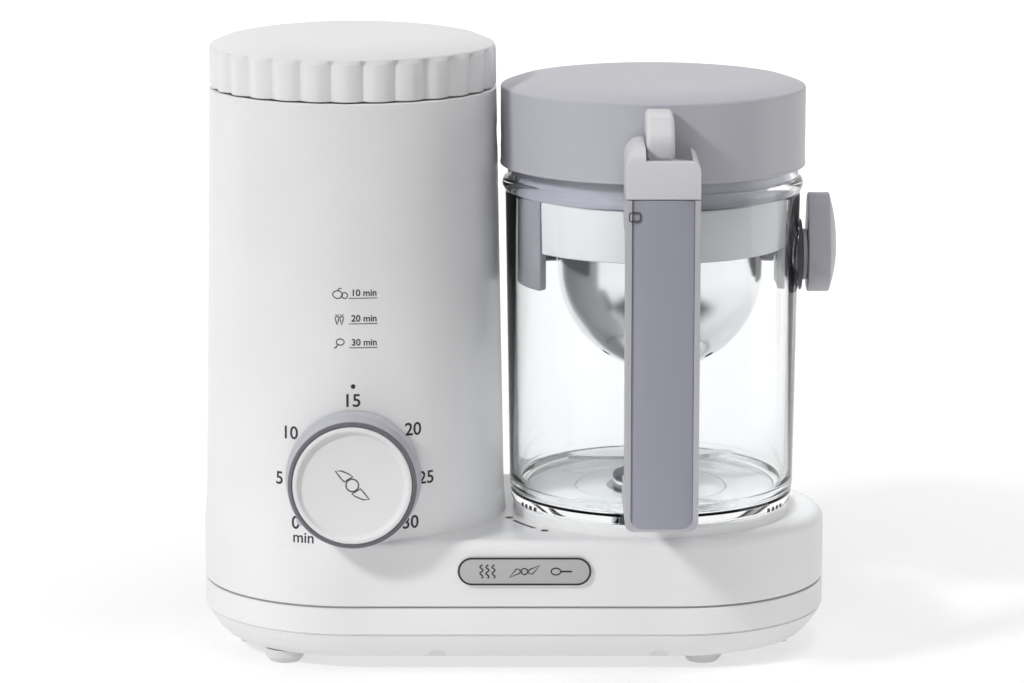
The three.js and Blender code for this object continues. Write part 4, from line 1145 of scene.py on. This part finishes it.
def handle_panel():
    """The inset front of the grip, and a small square plug near its top left corner."""
    inset, top = 2.5, HANDLE_TOP
    outline = grip_outline(inset, HANDLE_LOW + 3.0, top)
    panel = prism("handle_inset", outline, -HANDLE_FRONT - 1.3, -HANDLE_FRONT + 0.1)
    moved(panel, matrix=TO_FRONT)
    crown = disc("crown", PANEL_CROWN_R, HANDLE_LOW - 5, top + 5, 400)
    moved(crown, ((HANDLE_LEFT + HANDLE_RIGHT) / 2, HANDLE_FRONT - 0.1 + PANEL_CROWN_R, 0))
    combined(panel, "INTERSECT", [crown])
    bevelled(panel, 0.4, 3, 60)
    finished(panel, PANEL_GREY, "jug", "grey_plastic", "handle_panel", at=JUG)
    depth, left = 1.1, HANDLE_LEFT + inset
    plug_outline = rounded_box_outline((left - 1.2, left + 3.4), (top - 8.8, top - 5.2), 0.7, 4)
    border = stroke("plug_outline", plug_outline, 0.5, closed=True, thickness=depth)
    moved(border, (JUG.x, JUG.y + HANDLE_FRONT - 0.1 + depth, 0), TO_FRONT)
    finished(border, DARK_GREY, "jug", "grey_plastic")


def handle_cap():
    """A block over the grip, high on the left, with a slot for the lid's finger."""
    bottom, back = HANDLE_TOP + 0.4, HANDLE_ROOT - 0.2
    corners = [
        (HANDLE_RIGHT, bottom), (HANDLE_RIGHT, CAP_LIP, 4), (SLOT_LEFT, CAP_LIP), (SLOT_LEFT, CAP_TOP),
        (HANDLE_LEFT, CAP_TOP, 7), (HANDLE_LEFT, bottom),
    ]
    face = softened(corners, 8)
    body = moved(prism("cap_body", face, -back, -HANDLE_FRONT), matrix=TO_FRONT)
    below, above = bottom - 9, CAP_TOP + 0.1
    corners = [(back, below), (HANDLE_FRONT, below), (HANDLE_FRONT, above, 6), (back, above)]
    side = softened(corners, 8)
    combined(body, "INTERSECT", [side_prism("side_shape", side, HANDLE_LEFT - 1, HANDLE_RIGHT + 1)])
    bevelled(body, 1.6, 5, 40)
    slot_depth = (HANDLE_FRONT + LIP_DEPTH, back + 10)
    slot = block("slot", (SLOT_LEFT, SLOT_RIGHT), slot_depth, (SLOT_FLOOR, CAP_TOP + 5))
    cut(body, slot, rod_channel(bottom - 2, SLOT_FLOOR + 3))
    bevelled(body, 0.7, 3, 60)
    finished(body, LIGHT_GREY, "jug", "light_grey_plastic", "handle_cap", at=JUG)


# ---- jug lid


def lid_dome():
    ceiling = LID_TOP - LID_WALL
    crown = domed(LID_R - 1, LID_TOP + 0.6, 3.0, 7, 12)
    corners = [
        (LID_R - LID_WALL, LID_LOW), (LID_R, LID_LOW, 0.3), (LID_R, LID_LOW + 1.0, 0.3),
        (LID_R - 0.2, LID_LOW + 1.3), (LID_R - 0.2, LID_TOP - 3.2, 1.2), *crown, (0, ceiling),
        (LID_R - 5, ceiling - 0.9, 3), (LID_R - LID_WALL, LID_TOP - 8),
    ]
    dome = turned("lid_shell", corners, ROUND + 32, steps=8)
    vent = moved(disc("vent", 4, -80, -50), (0, 0, STEAM_Z), TO_RIGHT)
    cut(dome, vent)
    finished(dome, LID_GREY, "jug_lid", "grey_plastic", "lid_dome", at=JUG)


def lid_finger():
    """A hook that reaches from the lid over into the handle's cap."""
    root, out, tip, inner = -LID_R - 0.4, FINGER_OUT, FINGER_TIP, FINGER_OUT + FINGER_THICK
    top, under = tip + 18.5, tip + 6.5
    corners = [
        (root, top), (out + 8, top - 0.8, 8), (out, top - 8.3, 8), (out, tip), (inner, tip),
        (inner + 0.4, under + 0.6, 5), (root, under),
    ]
    outline = softened(corners, 8)
    finger = side_prism("lid_hook", outline, -FINGER_HALF, FINGER_HALF)
    bevelled(finger, 3.4, 6, 50)
    finished(finger, LIGHT_GREY, "jug_lid", "light_grey_plastic", "lid_finger", at=JUG)


# ---- CAD nodes that stay, with their finishes

KEPT = {
    BLACK: "cord_gland drive_coupling timer_body blend_switch lid_sensor thermostat blade_driver",
    WHITE: "jug_lock_ring tank_stopper lid_liner",
    BRUSHED: "motor_can motor_plate dial_shaft handle_screw_upper handle_screw_lower",
    SILICONE: "blend_rod steam_pipe steam_nozzle tank_seal bearing_gasket interlock_rod lid_gasket",
    DARK_GREY: "blade_bearing interlock_magnet bowl_pivot_left bowl_socket_right blade_hub",
    BLADE_STEEL: "blade_shaft blade_lower blade_upper",
    TANK_CLEAR: "water_tank",
    CAST: "heating_plate",
    GREEN: "control_board",
}


def finish_kept_nodes():
    kept = {name: material for material, names in KEPT.items() for name in names.split()}
    kept.update({name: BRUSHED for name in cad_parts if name.startswith("tray_screw_")})
    for name, material in kept.items():
        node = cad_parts[name]
        node.data.materials.clear()
        node.data.materials.append(material)
        smooth(node, 35)


camera()
studio()
for build in (
    base_tray, seam_shadow, upper_shell, feet, badge, dial_scale, steam_times, lock_marks, dial, dial_face,
    tank_lid, jug_body, lock_ticks, carrier, collar, bushing, bowl, knob, handle_frame, handle_panel,
    handle_cap, lid_dome, lid_finger, finish_kept_nodes,
):
    build()
